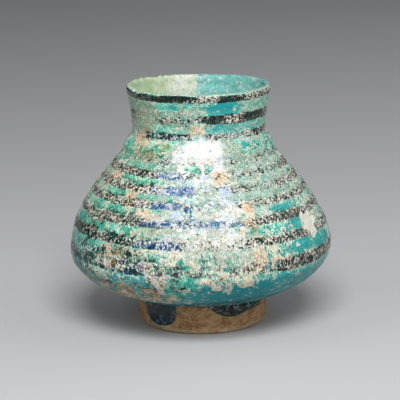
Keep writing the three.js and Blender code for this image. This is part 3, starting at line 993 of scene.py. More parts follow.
class Finish:
    """A material made of nodes. Each finish's build method adds them to its tree."""

    name: str = "finish"
    tree: bpy.types.NodeTree

    @cached_property
    def material(self) -> bpy.types.Material:
        """The material, made when it is first asked for."""
        made = bpy.data.materials.new(self.name)
        made.use_nodes = True
        self.tree = made.node_tree
        self.tree.nodes.clear()
        self.add("OutputMaterial", {"Surface": self.build()})
        return made

    def build(self) -> Socket:
        """Adds the nodes and returns the shader's output."""
        raise NotImplementedError

    def add(self, kind: str, inputs: dict[int | str, Any] | None = None, **settings: Any) -> bpy.types.Node:
        """Adds a node to this finish's tree, as add_node does."""
        return add_node(self.tree, kind, inputs, **settings)

    @cached_property
    def place(self) -> Socket:
        """The place on the object, in metres."""
        return self.add("TexCoord").outputs["Object"]

    @cached_property
    def height(self) -> Socket:
        """The place's height, in metres."""
        return self.add("SeparateXYZ", {0: self.place}).outputs["Z"]

    def field(self, key: Field) -> Socket:
        """A field's value."""
        return self.add("Attribute", attribute_name=key.value).outputs["Fac"]

    def stretched(self, place: Socket, scale: tuple[float, float, float]) -> Socket:
        """A place, stretched along the axes."""
        return self.add("Mapping", {"Vector": place, "Scale": scale}).outputs[0]

    def noise(self, place: Socket, size: float, detail: float, roughness: float = 0.6) -> bpy.types.Node:
        """A noise texture with blotches about this many millimetres apart."""
        ends = {"Vector": place, "Scale": grain(size), "Detail": detail, "Roughness": roughness}
        return self.add("TexNoise", ends)

    def channels(self, colour: Socket) -> Sequence[Socket]:
        """A colour's three channels."""
        return list(self.add("SeparateColor", {0: colour}).outputs)

    def noises(self, place: Socket, size: float, detail: float = 3.0) -> Sequence[Socket]:
        """Three noises of one size."""
        return self.channels(self.noise(place, size, detail).outputs["Color"])

    def reckoned(self, operation: str, *values: Any, **settings: Any) -> Socket:
        """The result of arithmetic on values or outputs."""
        return self.add("Math", dict(enumerate(values)), operation=operation, **settings).outputs[0]

    def product(self, first: Socket, *others: Any) -> Socket:
        """Masks multiplied together."""
        for other in others:
            first = self.reckoned("MULTIPLY", first, other)
        return first

    def spread(self, value: Socket, low: float = 0.0, high: float = 1.0, start: float = 0.0,
               stop: float = 1.0) -> Socket:
        """A value moved from between low and high to between start and stop, and kept there."""
        ends = {"Value": value, "From Min": low, "From Max": high, "To Min": start, "To Max": stop}
        return self.add("MapRange", ends).outputs[0]

    def mixed(self, share: Any, first: Any, second: Any) -> Socket:
        """A number between two others, by a share."""
        return self.add("Mix", {MIX_FACTOR: share, MIX_NUMBERS[0]: first, MIX_NUMBERS[1]: second}).outputs[0]

    def blended(self, kind: str, mask: Any, ground: Any, colour: Any, **settings: Any) -> Socket:
        """A colour laid on a ground by a mask, in one of the Mix node's ways."""
        ends = {MIX_FACTOR: mask, MIX_COLOURS[0]: ground, MIX_COLOURS[1]: colour}
        return self.add("Mix", ends, data_type="RGBA", blend_type=kind, **settings).outputs[MIX_COLOUR_OUT]

    def layered(self, ground: Any, *layers: tuple[Any, Any]) -> Socket:
        """Colours laid one over another.

        Args:
            ground: the colour below.
            layers: a mask and a colour each, in the order they are laid on.

        Returns:
            The colour on top.
        """
        for mask, colour in layers:
            ground = self.blended("MIX", mask, ground, colour)
        return ground

    def speckled(self, amount: Socket, noises: Sequence[tuple[Any, float]], edge: float,
                 middle: float = 0.5) -> Socket:
        """A mask that covers about the amount asked for, in speckles of the noises.

        Each noise, centred on 0, is added to the amount by its weight, and a soft step at the middle follows.
        A mask among the noises makes the speckles denser inside it, or sparser if its weight is negative.

        Args:
            amount: from 0 to 1.
            noises: an output and a weight each.
            edge: half the soft step's width.
            middle: where the step lies.

        Returns:
            The mask.
        """
        for noise, weight in noises:
            amount = self.reckoned("MULTIPLY_ADD", noise, weight, amount)
            amount = self.reckoned("SUBTRACT", amount, 0.5 * weight)
        ends = {"Value": amount, "From Min": middle - edge, "From Max": middle + edge}
        return self.add("MapRange", ends, interpolation_type="SMOOTHSTEP").outputs[0]

    def shader(self, colour: Socket, rough: Any, bumps: Socket, depth: float, strength: float, ior: float,
               specular: float = 0.5) -> Socket:
        """The surface.

        Args:
            colour: its base colour.
            rough: its roughness.
            bumps: how high it stands, from 0 to 1.
            depth: how many millimetres that is.
            strength: how strongly the bumps show.
            ior: the index of refraction.
            specular: how strong the mirror is, where 0.5 is what the index gives.

        Returns:
            The shader's output.
        """
        relief = self.add("Bump", {"Height": bumps, "Distance": depth * MM, "Strength": strength}).outputs[0]
        ends = {"Base Color": colour, "Roughness": rough, "Normal": relief, "IOR": ior}
        ends["Specular IOR Level"] = specular
        return self.add("BsdfPrincipled", ends).outputs[0]


@dataclass
class WornGlazeWithPaintedLight(Finish):
    """Alkaline turquoise glaze over black slip, pitted and crusted by burial.

    The clean glaze is glossy and deep, like wet glass. Where it has weathered it carries salt, which is fine
    pale specks, and pits, which are fine dark ones. On the slip there is frost too, in pinkish white flakes.
    The lower left has broken into a mosaic of small tiles in a pale net. Soft lumps of crust and a thin dull
    film lie over them, black pepper shows through, and grains lighten and darken all that is weathered. The
    crust, film and white on the collar's front and the middle of the front are partly a painted highlight,
    and the dark pools on the underside and the left flank are partly painted shade.
    """

    name: str = "worn_turquoise_glaze_with_painted_light"
    turquoise: str = "#2CABAE"
    mint: str = "#46C29C"
    shade: str = "#0B5A4B"
    pale_mint: str = "#A6EED6"
    emerald: str = "#079C7C"
    deep: str = "#009AA2"
    pool_and_shade: str = "#033E44"
    slip: str = "#091F1B"
    slip_brown: str = "#202822"
    slip_teal: str = "#0F5148"
    slip_navy: str = "#143E56"
    blue_deep: str = "#0E3562"
    blue_light: str = "#23809F"
    violet: str = "#205FB8"
    haze: str = "#A9C3AC"
    haze_tan: str = "#BFB99A"
    haze_dim: str = "#6F9482"
    bone: str = "#D6E8D4"
    white: str = "#F4F4F2"
    cream: str = "#F0E2C2"
    pink: str = "#F0D4C6"
    ash: str = "#76908A"
    pearl: str = "#AEE4CE"
    sky: str = "#B6D0F0"
    moss: str = "#8FB0A0"
    salt: str = "#8E9A94"
    net_pale: str = "#E2F0E4"
    rose: str = "#A48474"
    salt_on_slip: str = "#F0EEE4"
    tan: str = "#D8B684"
    rust: str = "#B98655"
    olive: str = "#8A8A4E"
    lilac: str = "#CDD6F4"
    pit: str = "#4A6A62"
    flake: str = "#EEECDD"
    dust_size: float = 0.85
    speck_size: float = 1.0
    ripple_size: float = 1.1
    streak_size: float = 1.7
    spot_size: float = 2.2
    swirl_size: float = 2.8
    tile_size: float = 3.8
    clump_size: float = 4.0
    drift_size: float = 8.0
    ragged: float = 0.5
    tile_bend: float = 3.0
    tile_range: Point = (0.28, 0.72)
    drip_line: float = 77.0
    drip_ragged: float = 0.03
    grains: Point = (0.6, 1.45)
    gloss: float = 0.18
    film_cover: float = 0.72
    film_on_slip: float = 0.4
    film_gloss: float = 0.3
    deep_dulling: float = 0.3
    crust_roughness: float = 0.5
    crust_height: float = 0.14
    grit_height: float = 0.06

    @cached_property
    def wear(self) -> dict[Field, Socket]:
        """Every field's value."""
        return {key: self.field(key) for key in Field}

    @cached_property
    def wide(self) -> Socket:
        """The place, for blotches that are wide."""
        return self.stretched(self.place, (1.0, 1.0, 1.5))

    @cached_property
    def tall(self) -> Socket:
        """The place, for blotches that are tall."""
        return self.stretched(self.place, (1.3, 1.3, 0.6))

    @cached_property
    def drift(self) -> Sequence[Socket]:
        """Three noises of broad clouds."""
        return self.noises(self.wide, self.drift_size, 4.0)

    @cached_property
    def clump(self) -> Sequence[Socket]:
        """Three noises of clumps."""
        return self.noises(self.wide, self.clump_size)

    @cached_property
    def dust(self) -> Sequence[Socket]:
        """Three noises of the finest grain."""
        return self.noises(self.tall, self.dust_size, 1.0)

    @cached_property
    def speck(self) -> Sequence[Socket]:
        """Three noises of specks."""
        return self.blotches(self.place, self.speck_size, 1.0)

    @cached_property
    def tiles(self) -> dict[str, Any]:
        """What makes a cell texture the mosaic's tiles."""
        return {"Vector": self.bent(self.swirl_size, self.tile_bend), "Scale": grain(self.tile_size)}

    @cached_property
    def spot(self) -> Sequence[Socket]:
        """Three noises of flakes, which give way to each tile's own random number where there is a mosaic."""
        loose = self.blotches(self.bent(self.ripple_size, self.ragged), self.spot_size, 2.0)
        numbers = self.channels(self.add("TexVoronoi", self.tiles).outputs["Color"])
        calmed = [self.spread(number, 0.0, 1.0, *self.tile_range) for number in numbers]
        return [self.mixed(self.wear[Field.MOSAIC], noise, number) for noise, number in zip(loose, calmed)]

    @cached_property
    def dripping(self) -> Socket:
        """1 below the shoulder's top, where glaze ran down in drips, and 0 above a ragged line."""
        line = self.reckoned("MULTIPLY_ADD", self.clump[2], self.drip_ragged, self.height)
        return self.spread(line, (self.drip_line + 0.5) * MM, (self.drip_line - 0.5) * MM)

    def bent(self, size: float, reach: float) -> Socket:
        """The place, pushed about by a noise of a size, by up to so many millimetres."""
        push = self.noise(self.place, size, 2.0, 0.5).outputs["Color"]
        ends = {0: push, 1: (reach * MM,) * 3, 2: self.place}
        return self.add("VectorMath", ends, operation="MULTIPLY_ADD").outputs[0]

    def blotches(self, place: Socket, size: float, detail: float) -> Sequence[Socket]:
        """Three noises whose blotches are wide on the shoulder and tall where glaze dripped."""
        wide, tall = (self.stretched(place, scale) for scale in ((1.0, 1.0, 1.35), (1.15, 1.15, 0.75)))
        ends = {MIX_FACTOR: self.dripping, MIX_VECTORS[0]: wide, MIX_VECTORS[1]: tall}
        chosen = self.add("Mix", ends, data_type="VECTOR").outputs[MIX_VECTOR_OUT]
        return self.noises(chosen, size, detail)

    @cached_property
    def weathered(self) -> Socket:
        """Where there is any crust at all."""
        return self.spread(self.wear[Field.CRUST_AND_HIGHLIGHT], 0.06, 0.3)

    @cached_property
    def touched(self) -> Socket:
        """Where the glaze is weathered or green."""
        return self.reckoned("MAXIMUM", self.weathered, self.wear[Field.GREEN])

    @cached_property
    def slipped(self) -> Socket:
        """Where slip shows, with worn edges."""
        noises = [(self.speck[2], 0.7), (self.spot[2], 1.0), (self.clump[1], 1.1)]
        return self.speckled(self.wear[Field.SLIP], noises, 0.18)

    @cached_property
    def blued(self) -> Socket:
        """Where the slip is blue."""
        return self.speckled(self.wear[Field.BLUE], [(self.spot[1], 1.5), (self.speck[1], 0.6)], 0.16)

    @cached_property
    def bluish(self) -> Socket:
        """A faint cast of the same."""
        return self.product(self.blued, 0.35)

    @cached_property
    def whitened_and_highlit(self) -> Socket:
        """Where film and crust are white, and a painted highlight on the collar's front and the middle of the
        front.
        """
        return self.speckled(self.wear[Field.WHITE], [(self.drift[2], 0.8), (self.speck[1], 0.4)], 0.25)

    @cached_property
    def depth(self) -> Socket:
        """Where the glaze is thick and dark, and where shade is painted on the underside and the left flank.
        """
        return self.speckled(self.wear[Field.DEEP_AND_SHADE], [(self.drift[1], 0.7)], 0.5)

    @cached_property
    def rosy(self) -> Socket:
        """Where the frost and salt on slip are pink."""
        return self.speckled(self.spot[1], [(self.clump[0], 0.8)], 0.05, 0.53)

    def glaze(self) -> Socket:
        """The glaze's colour: clouds of turquoise, mint and emerald, olive stains, and dark pools, partly
        painted shade.
        """
        wear, drift, clump, spot = self.wear, self.drift, self.clump, self.spot
        rise = wear[Field.RISE]
        green = self.speckled(wear[Field.GREEN], [(drift[0], 1.4), (spot[1], 0.6)], 0.35)
        vivid = self.speckled(clump[2], [(drift[2], 0.9), (spot[2], 0.8)], 0.14)
        dim = self.speckled(clump[1], [(drift[1], 1.3), (spot[0], 0.6), (rise, -0.3)], 0.18, 0.6)
        pale = [(drift[0], 1.0), (spot[2], 0.8), (self.speck[0], 0.8), (rise, 0.24)]
        pale = self.speckled(clump[1], pale, 0.2, 0.52)
        vivid, dim, pale = (self.product(mask, self.touched) for mask in (vivid, dim, pale))
        stained = self.speckled(wear[Field.TAN], [(clump[2], 1.6), (spot[0], 0.9)], 0.2, 0.98)
        # Dark pools of thick glaze, and painted shade on the underside and the left flank.
        pooled = self.speckled(wear[Field.DEEP_AND_SHADE], [(drift[1], 0.7)], 0.25, 0.95)
        return self.layered(
            self.turquoise, (green, self.mint), (vivid, self.emerald), (dim, self.shade),
            (pale, self.pale_mint), (stained, self.olive), (self.depth, self.deep), (pooled, self.pool_and_shade),
        )

    @cached_property
    def black(self) -> Socket:
        """The slip's colour: black, brown and teal, and blues where the glaze broke over it."""
        spot, speck, mosaic = self.spot, self.speck, self.wear[Field.MOSAIC]
        brownish = self.speckled(spot[2], [(speck[1], 0.7)], 0.05, 0.55)
        teal = self.speckled(spot[0], [(speck[0], 0.7), (mosaic, 0.2)], 0.05)
        lively = self.speckled(speck[0], [(spot[1], 0.8)], 0.08, 0.57)
        violet = self.speckled(self.wear[Field.WHITE], [(spot[2], 0.8)], 0.2)
        blues = (violet, self.violet), (lively, self.blue_light), (mosaic, self.slip_navy)
        blues = self.layered(self.blue_deep, *blues)
        clouds = (brownish, self.slip_brown), (teal, self.slip_teal)
        return self.layered(self.slip, *clouds, (self.blued, blues))

    def whites(self) -> Socket:
        """The white film's colours, partly a painted highlight: white, pearl, sky, cream and moss in clouds.
        """
        drift, clump, spot = self.drift, self.clump, self.spot
        calm = self.wear[Field.WHITE], -0.25
        pearly = self.speckled(clump[1], [(spot[2], 0.6), calm], 0.1, 0.42)
        skyish = self.speckled(drift[1], [(clump[0], 0.9), (spot[0], 0.4), calm], 0.08, 0.43)
        ivory = self.speckled(drift[2], [(clump[2], 1.0), (spot[1], 0.4), calm], 0.1, 0.44)
        mossy = self.speckled(drift[0], [(spot[1], 0.9), (clump[2], 0.8), calm], 0.06, 0.47)
        clouds = (pearly, self.pearl), (skyish, self.sky), (ivory, self.cream), (mossy, self.moss)
        return self.layered(self.white, *clouds)

    def veil(self) -> Socket:
        """The film's colour: grey green, sandy or white, with dimmer dust in it. Its white is partly a
        painted highlight.
        """
        sandy = self.speckled(self.wear[Field.TAN], [(self.clump[0], 0.8)], 0.3)
        dusty = self.speckled(self.speck[2], [(self.whitened_and_highlit, 0.3)], 0.06, 0.34)
        layers = (sandy, self.haze_tan), (self.whitened_and_highlit, self.whites()), (self.bluish, self.lilac)
        return self.layered(self.haze_dim, (dusty, self.layered(self.haze, *layers)))

    def crusts(self) -> Socket:
        """The crust's colour: bone, white and cream, with tan, rust and pink stains. Its white is partly a
        painted highlight.
        """
        tan, clump, spot, speck = self.wear[Field.TAN], self.clump, self.spot, self.speck
        creamy = self.speckled(tan, [(speck[1], 1.4), (clump[0], 1.0)], 0.25)
        tanned = [(spot[1], 1.6), (speck[2], 0.6), (self.wear[Field.MOSAIC], 0.3)]
        tanned = self.speckled(tan, tanned, 0.2, 0.78)
        rusty = self.speckled(tan, [(spot[2], 1.8), (clump[1], 0.8)], 0.12, 1.1)
        pinkish = self.speckled(spot[1], [(speck[0], 0.5), (clump[2], 0.6)], 0.06, 0.57)
        return self.layered(
            self.bone, (self.whitened_and_highlit, self.white), (creamy, self.cream), (tanned, self.tan),
            (rusty, self.rust), (pinkish, self.pink), (self.bluish, self.lilac),
        )

    def frost(self) -> tuple[Socket, Socket]:
        """Where frost lies on the slip, and its colour."""
        wear = self.wear
        streak = self.noises(self.tall, self.streak_size, 1.0)
        noises = [(streak[1], 0.9), (self.clump[0], 0.4), (wear[Field.CRUST_AND_HIGHLIGHT], 0.2), (wear[Field.BLUE], -0.1)]
        mask = self.speckled(self.dust[0], [*noises, (wear[Field.MOSAIC], -0.12)], 0.04, 0.555)
        colour = self.layered(self.salt_on_slip, (self.rosy, self.pink), (self.bluish, self.lilac))
        return self.product(mask, self.weathered, self.slipped), colour

    def net(self) -> tuple[Socket, Socket]:
        """The lines between the mosaic's tiles, and their colour."""
        between = self.add("TexVoronoi", self.tiles, feature="DISTANCE_TO_EDGE").outputs["Distance"]
        mask = self.speckled(self.wear[Field.MOSAIC], [(between, -3.0), (self.speck[1], 1.4)], 0.16, 2.3)
        return mask, self.layered(self.net_pale, (self.depth, self.pool_and_shade))

    def salted(self, ground: Socket) -> Socket:
        """A colour with pits sunk in it and salt on it."""
        crust, mosaic = self.wear[Field.CRUST_AND_HIGHLIGHT], self.wear[Field.MOSAIC]
        pits = [(self.dust[2], 2.4), (self.clump[1], 1.0), (mosaic, -0.4)]
        ground = self.blended("MULTIPLY", self.speckled(crust, pits, 0.2, 0.86), ground, self.pit)
        salt = [(self.speck[1], 2.0), (self.spot[1], 1.0), (self.clump[0], 1.2)]
        salt = self.speckled(crust, [*salt, (mosaic, -0.5), (self.blued, -0.45)], 0.22, 0.98)
        ashes = self.layered(self.ash, (self.rosy, self.rose))
        salts = self.layered(self.salt, (self.slipped, ashes), (self.bluish, self.lilac))
        return self.blended("ADD", salt, ground, salts, clamp_result=True)

    def grained(self, ground: Socket) -> Socket:
        """A colour lightened and darkened by grains, where it is weathered and not white."""
        grains = self.spread(self.dust[1], 0.3, 0.7, *self.grains)
        gritty = self.reckoned("MULTIPLY_ADD", self.whitened_and_highlit, -0.55, self.touched, use_clamp=True)
        grey = self.add("CombineColor", dict.fromkeys(range(3), self.mixed(gritty, 1.0, grains))).outputs[0]
        return self.blended("MULTIPLY", 1.0, ground, grey, clamp_result=True)

    def build(self) -> Socket:
        """Adds the nodes: the glaze and slip, and what lies on them in turn, then roughness and bump."""
        wear, clump, spot, speck = self.wear, self.clump, self.spot, self.speck
        # Crust, film and white also paint a highlight on the collar's front and the middle of the front.
        crust = [(spot[0], 2.0), (clump[0], 1.8), (speck[0], 0.6), (self.dust[0], 0.3)]
        crust = self.speckled(wear[Field.CRUST_AND_HIGHLIGHT], crust, 0.24)
        haze = self.speckled(wear[Field.HAZE_AND_HIGHLIGHT], [(clump[0], 1.5), (clump[2], 0.6), (speck[0], 0.8)], 0.32)
        film = self.product(haze, self.spread(self.slipped, 0.0, 1.0, self.film_cover, self.film_on_slip))
        # Pepper is sparser where the white film and the painted highlight are.
        paled_and_highlit = self.speckled(wear[Field.WHITE], [(self.drift[2], 0.8)], 0.25)
        dotted = self.speckled(speck[0], [(spot[2], 0.5), (paled_and_highlit, -0.06)], 0.03, 0.53)
        peppered = self.product(self.slipped, dotted)
        colour = self.salted(self.layered(self.glaze(), (self.slipped, self.black)))
        colour = self.layered(
            colour, self.frost(), (crust, self.crusts()), self.net(), (film, self.veil()),
            (peppered, self.black),
        )
        colour = self.layered(self.grained(colour), (wear[Field.FLAKE], self.flake))
        smooth = self.spread(film, 0.0, 1.0, self.gloss, self.film_gloss)
        smooth = self.reckoned("MULTIPLY_ADD", self.depth, self.deep_dulling, smooth)
        rough = self.mixed(self.reckoned("MAXIMUM", crust, wear[Field.FLAKE]), smooth, self.crust_roughness)
        bumps = self.product(crust, self.crust_height)
        bumps = self.reckoned("MULTIPLY_ADD", speck[0], self.grit_height, bumps)
        return self.shader(colour, rough, bumps, 1.0, 0.8, 1.4, 0.3)


@dataclass
class InnerGlaze(Finish):
    """The same glaze on the inside, thin, satin, and pale partly as painted light, with speckles where it has
    weathered.
    """

    name: str = "pale_inner_glaze"
    # A paler turquoise than the outside's, partly painted light on the inner wall.
    turquoise: str = "#7FCFC9"
    shade: str = "#58AFA8"
    pale: str = "#C4DAB0"
    olive: str = "#A6BC8C"
    white: str = "#E9ECE4"
    pink: str = "#E2DAD0"
    line: str = "#1B3F3C"

    def build(self) -> Socket:
        """Adds the nodes: the left is pale, the right is turquoise, and both are clouded and speckled."""
        left, white, slip = (self.field(key) for key in (Field.GREEN, Field.WHITE, Field.SLIP))
        drift = self.noises(self.place, 5.0, 4.0)
        fine = self.noise(self.place, 1.3, 3.0).outputs
        tint = self.channels(fine["Color"])
        cells = self.add("TexVoronoi", {"Vector": self.place, "Scale": grain(1.2)}).outputs["Color"]
        flake = self.channels(cells)
        shaded = self.speckled(drift[2], [(tint[1], 0.5)], 0.16, 0.55)
        pale = self.speckled(left, [(drift[0], 0.8), (tint[0], 0.3)], 0.25)
        dull = self.speckled(left, [(drift[1], 1.6)], 0.3, 1.05)
        clouded = self.speckled(white, [(drift[0], 1.0), (tint[2], 1.5), (flake[0], 0.3)], 0.3)
        pinkish = self.speckled(flake[1], [(drift[1], 0.4)], 0.05, 0.75)
        line = self.speckled(slip, [(fine["Fac"], 0.9)], 0.1)
        colour = self.layered(
            self.turquoise, (shaded, self.shade), (pale, self.pale), (dull, self.olive),
            (clouded, self.layered(self.white, (pinkish, self.pink))), (line, self.line),
        )
        return self.shader(colour, self.spread(clouded, 0.0, 1.0, 0.28, 0.55), fine["Fac"], 0.12, 0.8, 1.46)


@dataclass
class BareStonepaste(Finish):
    """Fired stonepaste without glaze, turned and gritty: dry, tan, and mottled by iron and soil."""

    name: str = "bare_stonepaste"
    clay: str = "#E6BB88"
    pale: str = "#FAE2BC"
    iron: str = "#B07E54"
    soil: str = "#6A5440"

    def build(self) -> Socket:
        """Adds the nodes: clouds of iron, soil in the pores, turning lines, grit, and a pale worn edge."""
        tint = self.noises(self.place, 5.0, 5.0)
        lines = self.noise(self.stretched(self.place, (0.8, 0.8, 1.3)), 1.1, 2.0, 0.5).outputs["Fac"]
        grit = self.noise(self.place, 0.6, 2.0, 0.5).outputs["Fac"]
        edge = self.spread(self.height, 4.5 * MM, 0.5 * MM)
        pale = self.speckled(edge, [(tint[0], 3.0), (lines, 1.4)], 0.5, 0.62)
        iron = self.speckled(tint[1], [(lines, 0.8), (edge, -0.16)], 0.22, 0.6)
        soil = self.speckled(grit, [(tint[2], 1.2)], 0.1, 0.76)
        colour = self.layered(self.clay, (pale, self.pale), (iron, self.iron), (soil, self.soil))
        return self.shader(colour, 0.88, self.reckoned("MULTIPLY_ADD", lines, 0.6, grit), 0.15, 0.8, 1.45)


@dataclass
class RunGlaze(Finish):
    """Glaze that ran and pooled on the foot: thick, near black, glossy, with sparks of iridescent skin."""

    name: str = "dark_run_glaze"
    dark: str = "#030C0D"
    teal: str = "#07443F"
    navy: str = "#0A2A45"
    spark: str = "#8FA6A0"
    violet: str = "#4A78A0"
    rim: str = "#1F7A63"
    brim: str = "#A9A98C"

    def build(self) -> Socket:
        """Adds the nodes: teal and navy clouds, sparks of weathering, and a green rim where it is thin."""
        blue, thin = self.field(Field.BLUE), self.field(Field.GREEN)
        tint = self.noises(self.place, 3.5, 4.0)
        speck = self.noises(self.place, 0.75, 2.0)
        teal = self.speckled(tint[0], [(speck[0], 0.9)], 0.08, 0.58)
        navy = self.speckled(blue, [(tint[1], 2.4), (speck[1], 2.0)], 0.12, 1.36)
        edge = self.speckled(thin, [(tint[0], 0.6)], 0.2)
        brim = self.speckled(thin, [(speck[0], 0.5)], 0.06, 0.93)
        spark = self.speckled(speck[2], [(tint[2], 2.2), (thin, -0.3), (blue, -0.06)], 0.04, 0.87)
        violet = self.speckled(blue, [(tint[1], 1.0)], 0.1)
        colour = self.layered(
            self.dark, (teal, self.teal), (navy, self.navy), (edge, self.rim), (brim, self.brim),
            (spark, self.layered(self.spark, (violet, self.violet))),
        )
        return self.shader(colour, self.spread(spark, 0.0, 1.0, 0.1, 0.4), speck[0], 0.1, 0.7, 1.46)


@dataclass
class LutingSlip(Finish):
    """Slip that stuck the thrown sections together: the same clay, finer and a shade paler."""

    name: str = "luting_slip"
    slip: str = "#BCA582"
    stain: str = "#8D7355"

    def build(self) -> Socket:
        """Adds the nodes: stains and a fine grain."""
        cloud = self.noise(self.place, 2.5, 4.0, 0.65).outputs["Fac"]
        colour = self.layered(self.slip, (self.speckled(cloud, [], 0.1, 0.55), self.stain))
        return self.shader(colour, 0.92, cloud, 0.1, 0.7, 1.45)


def register(piece: bpy.types.Object, node: str, finish: Finish) -> None:
    """Dresses a piece and gives it its CAD node's place in the frame.

    Args:
        piece: the object.
        node: the CAD node that it stands for.
        finish: its material.
    """
    piece.data.materials.append(finish.material)
    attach(piece, BODY)
    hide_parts(node)
    LOG.info("%s: %d vertices, %s", piece.name, len(piece.data.vertices), finish.name)


@dataclass
class Coats:
    """The outer glaze in its three sections, and the painted bands that lie in it."""

    finish: WornGlazeWithPaintedLight
    columns: int = 840
    pitch: float = 0.47
    glaze: float = 0.6
    groove: float = 0.35
    band_gap: float = 0.01
    back_pitch: float = 6.0
    foot_gap: float = 0.15

    @property
    def azimuth(self) -> Array:
        """The columns' azimuths."""
        return azimuths(self.columns)

    def build(self) -> None:
        """Builds the coats from the foot up, then the bands."""
        foot = PATH.outside_at_radius(PATH.foot_radius + self.foot_gap)
        belly = float(PATH.outside_at(BELLY_JOINT))
        neck = float(PATH.outside_at(NECK_JOINT))
        rim = (
            PATH.outside_at(np.full(self.columns, RIM_BAND_LOWER)),
            np.full(self.columns, PATH.lip[0] + RIM_BAND_CROWN),
        )
        on_body = [band.edges(self.azimuth) for band in BODY_BANDS]
        on_neck = [*(band.edges(self.azimuth) for band in NECK_BANDS), rim]
        self.coat("lower_glaze", foot, belly, [])
        self.coat("shoulder_glaze", belly, neck, on_body)
        self.coat("neck_glaze", neck, sum(PATH.lip) / 2, on_neck)
        names = [band.name for band in (*BODY_BANDS, *NECK_BANDS)]
        for name, edges in zip([*names, "rim_band"], [*on_body, *on_neck]):
            self.band(name, *edges)

    def coat(self, name: str, start: float, stop: float, bands: Sequence[tuple[Array, Array]]) -> None:
        """One section of the coat, with a groove under each band.

        Args:
            name: its CAD node.
            start: where it begins along the path.
            stop: where it ends.
            bands: the edges of the bands on it.
        """
        parts = []
        here = np.full(self.columns, start)
        for lower, upper in bands:
            parts.append(Rings.span(here, lower, self.pitch, self.columns, 0.0, 1.0))
            parts.append(Rings.span(lower, upper, ENDS_ONLY, self.columns, self.groove))
            here = upper
        parts.append(Rings.span(here, stop, self.pitch, self.columns, 0.0, 1.0))
        parts.append(Rings.span(stop, start, self.back_pitch, self.columns, self.glaze))
        self.layer(name, parts)

    def band(self, name: str, lower: Array, upper: Array) -> None:
        """One painted band, lying in its groove, flush with the glaze."""
        face = Rings.span(lower, upper, self.pitch, self.columns, 0.0, 1.0)
        back = Rings.span(upper, lower, ENDS_ONLY, self.columns, self.groove - self.band_gap)
        self.layer(name, [face, back])

    def layer(self, name: str, parts: Sequence[Rings]) -> None:
        """Makes the piece from its rings: relief stands on the path, and the potter's hand moves it all."""
        rings = Rings.joined(parts)
        azimuth = np.broadcast_to(self.azimuth, rings.arc.shape)
        wear = WEAR_AND_LIGHT.fields(rings.arc, azimuth)
        relief = RELIEF.outside(rings.arc, azimuth, wear) * rings.relief[:, None]
        radius, height = PATH.places(rings.arc).at_depth(rings.depth[:, None] - relief)
        piece = closed_mesh(FIRED + name, THROWING.place(radius, height, azimuth), rings.relief > 0)
        write_fields(piece, wear)
        register(piece, name, self.finish)


@dataclass
class Lining:
    """The inner glaze in its three sections."""

    finish: InnerGlaze
    columns: int = 420
    lip_columns: int = 840
    pitch: float = 0.9
    lip_pitch: float = 0.5
    back_pitch: float = 6.0
    glaze: float = 0.6
    lumps: float = 0.12
    finger_pitch: float = 5.5
    fade: float = 2.0
    line_width: float = 0.35
    line_from_lip: float = 0.5
    parted_at: float = -0.5
    parted_width: float = 2.5
    parted_ragged: float = 1.5
    parted_above: float = 104.0
    blending: float = 0.4

    def build(self) -> None:
        """Builds the lining from the lip down."""
        top = sum(PATH.lip) / 2
        neck = float(PATH.inside_at(NECK_JOINT))
        belly = float(PATH.inside_at(BELLY_JOINT))
        self.section("neck_inner_glaze", top, neck, self.lip_columns, self.lip_pitch)
        self.section("shoulder_inner_glaze", neck, belly, self.columns, self.pitch)
        self.section("floor_inner_glaze", belly, PATH.end, self.columns, self.pitch)

    def wear(self, arc: Array, azimuth: Array, spots: Array, radius: Array,
             height: Array) -> dict[Field, Array]:
        """The lining's fields: a painted line under the lip, a pale left side, and a white cloud on it."""
        line = np.abs(arc - PATH.lip[1] - self.line_from_lip) < self.line_width
        drawn = smoothstep(-40.0, -10.0, azimuth) * (1.0 - smoothstep(95.0, 120.0, azimuth))
        ragged = self.parted_ragged * lattice_noise(spots, 6.0, Seed.PARTING)
        side = radius * np.sin(np.radians(azimuth)) + ragged
        blend = self.parted_width + self.blending * np.maximum(self.parted_above - height, 0.0)
        left = 1.0 - smoothstep(self.parted_at - blend, self.parted_at + blend, side)
        white = 0.27 + 0.44 * np.exp(-(((side + 8.0) / 9.5) ** 2)) - 0.14 * smoothstep(10.0, 30.0, -side)
        return {Field.SLIP: line * drawn, Field.GREEN: left, Field.WHITE: white}

    def section(self, name: str, start: float, stop: float, columns: int, pitch: float) -> None:
        """One section of the lining, with the throwing rings that a potter's fingers leave.

        They fade out at the section's ends, where it meets the next. At the lip the outside's relief takes
        over.

        Args:
            name: its CAD node.
            start: where it begins along the path.
            stop: where it ends. At the path's end, both faces close in poles.
            columns: how many points a ring has.
            pitch: about how far apart the rings lie.
        """
        poles = stop >= PATH.end
        at_lip = start < PATH.lip[1]
        front = Rings.span(start, stop, pitch, columns, 0.0, 1.0)
        back = Rings.span(stop, start, self.back_pitch, columns, self.glaze)
        rings = Rings.joined([back, front] if poles else [front, back])
        arc = rings.arc
        azimuth = np.broadcast_to(azimuths(columns), arc.shape)
        place = PATH.places(arc)
        spots = place.points(azimuth)
        fingers = np.sin(2 * math.pi * arc / self.finger_pitch + np.radians(azimuth))
        lumps = self.lumps * (lattice_noise(spots, 5.0, Seed.LINING) + 0.7 * fingers)
        edge = smoothstep(0.0, self.fade, arc - start)
        edge = edge * (1.0 - smoothstep(-self.fade, 0.0, arc - stop) * (not poles))
        relief = edge * lumps
        if at_lip:
            relief += (1.0 - edge) * RELIEF.outside(arc, azimuth, WEAR_AND_LIGHT.fields(arc, azimuth))
        radius, height = place.at_depth(rings.depth[:, None] - relief * rings.relief[:, None])
        points = THROWING.place(np.maximum(radius, 0.0), height, azimuth)
        piece = closed_mesh(FIRED + name, points, rings.relief > 0, poles=poles)
        write_fields(piece, self.wear(arc, azimuth, spots, radius, place.height))
        register(piece, name, self.finish)


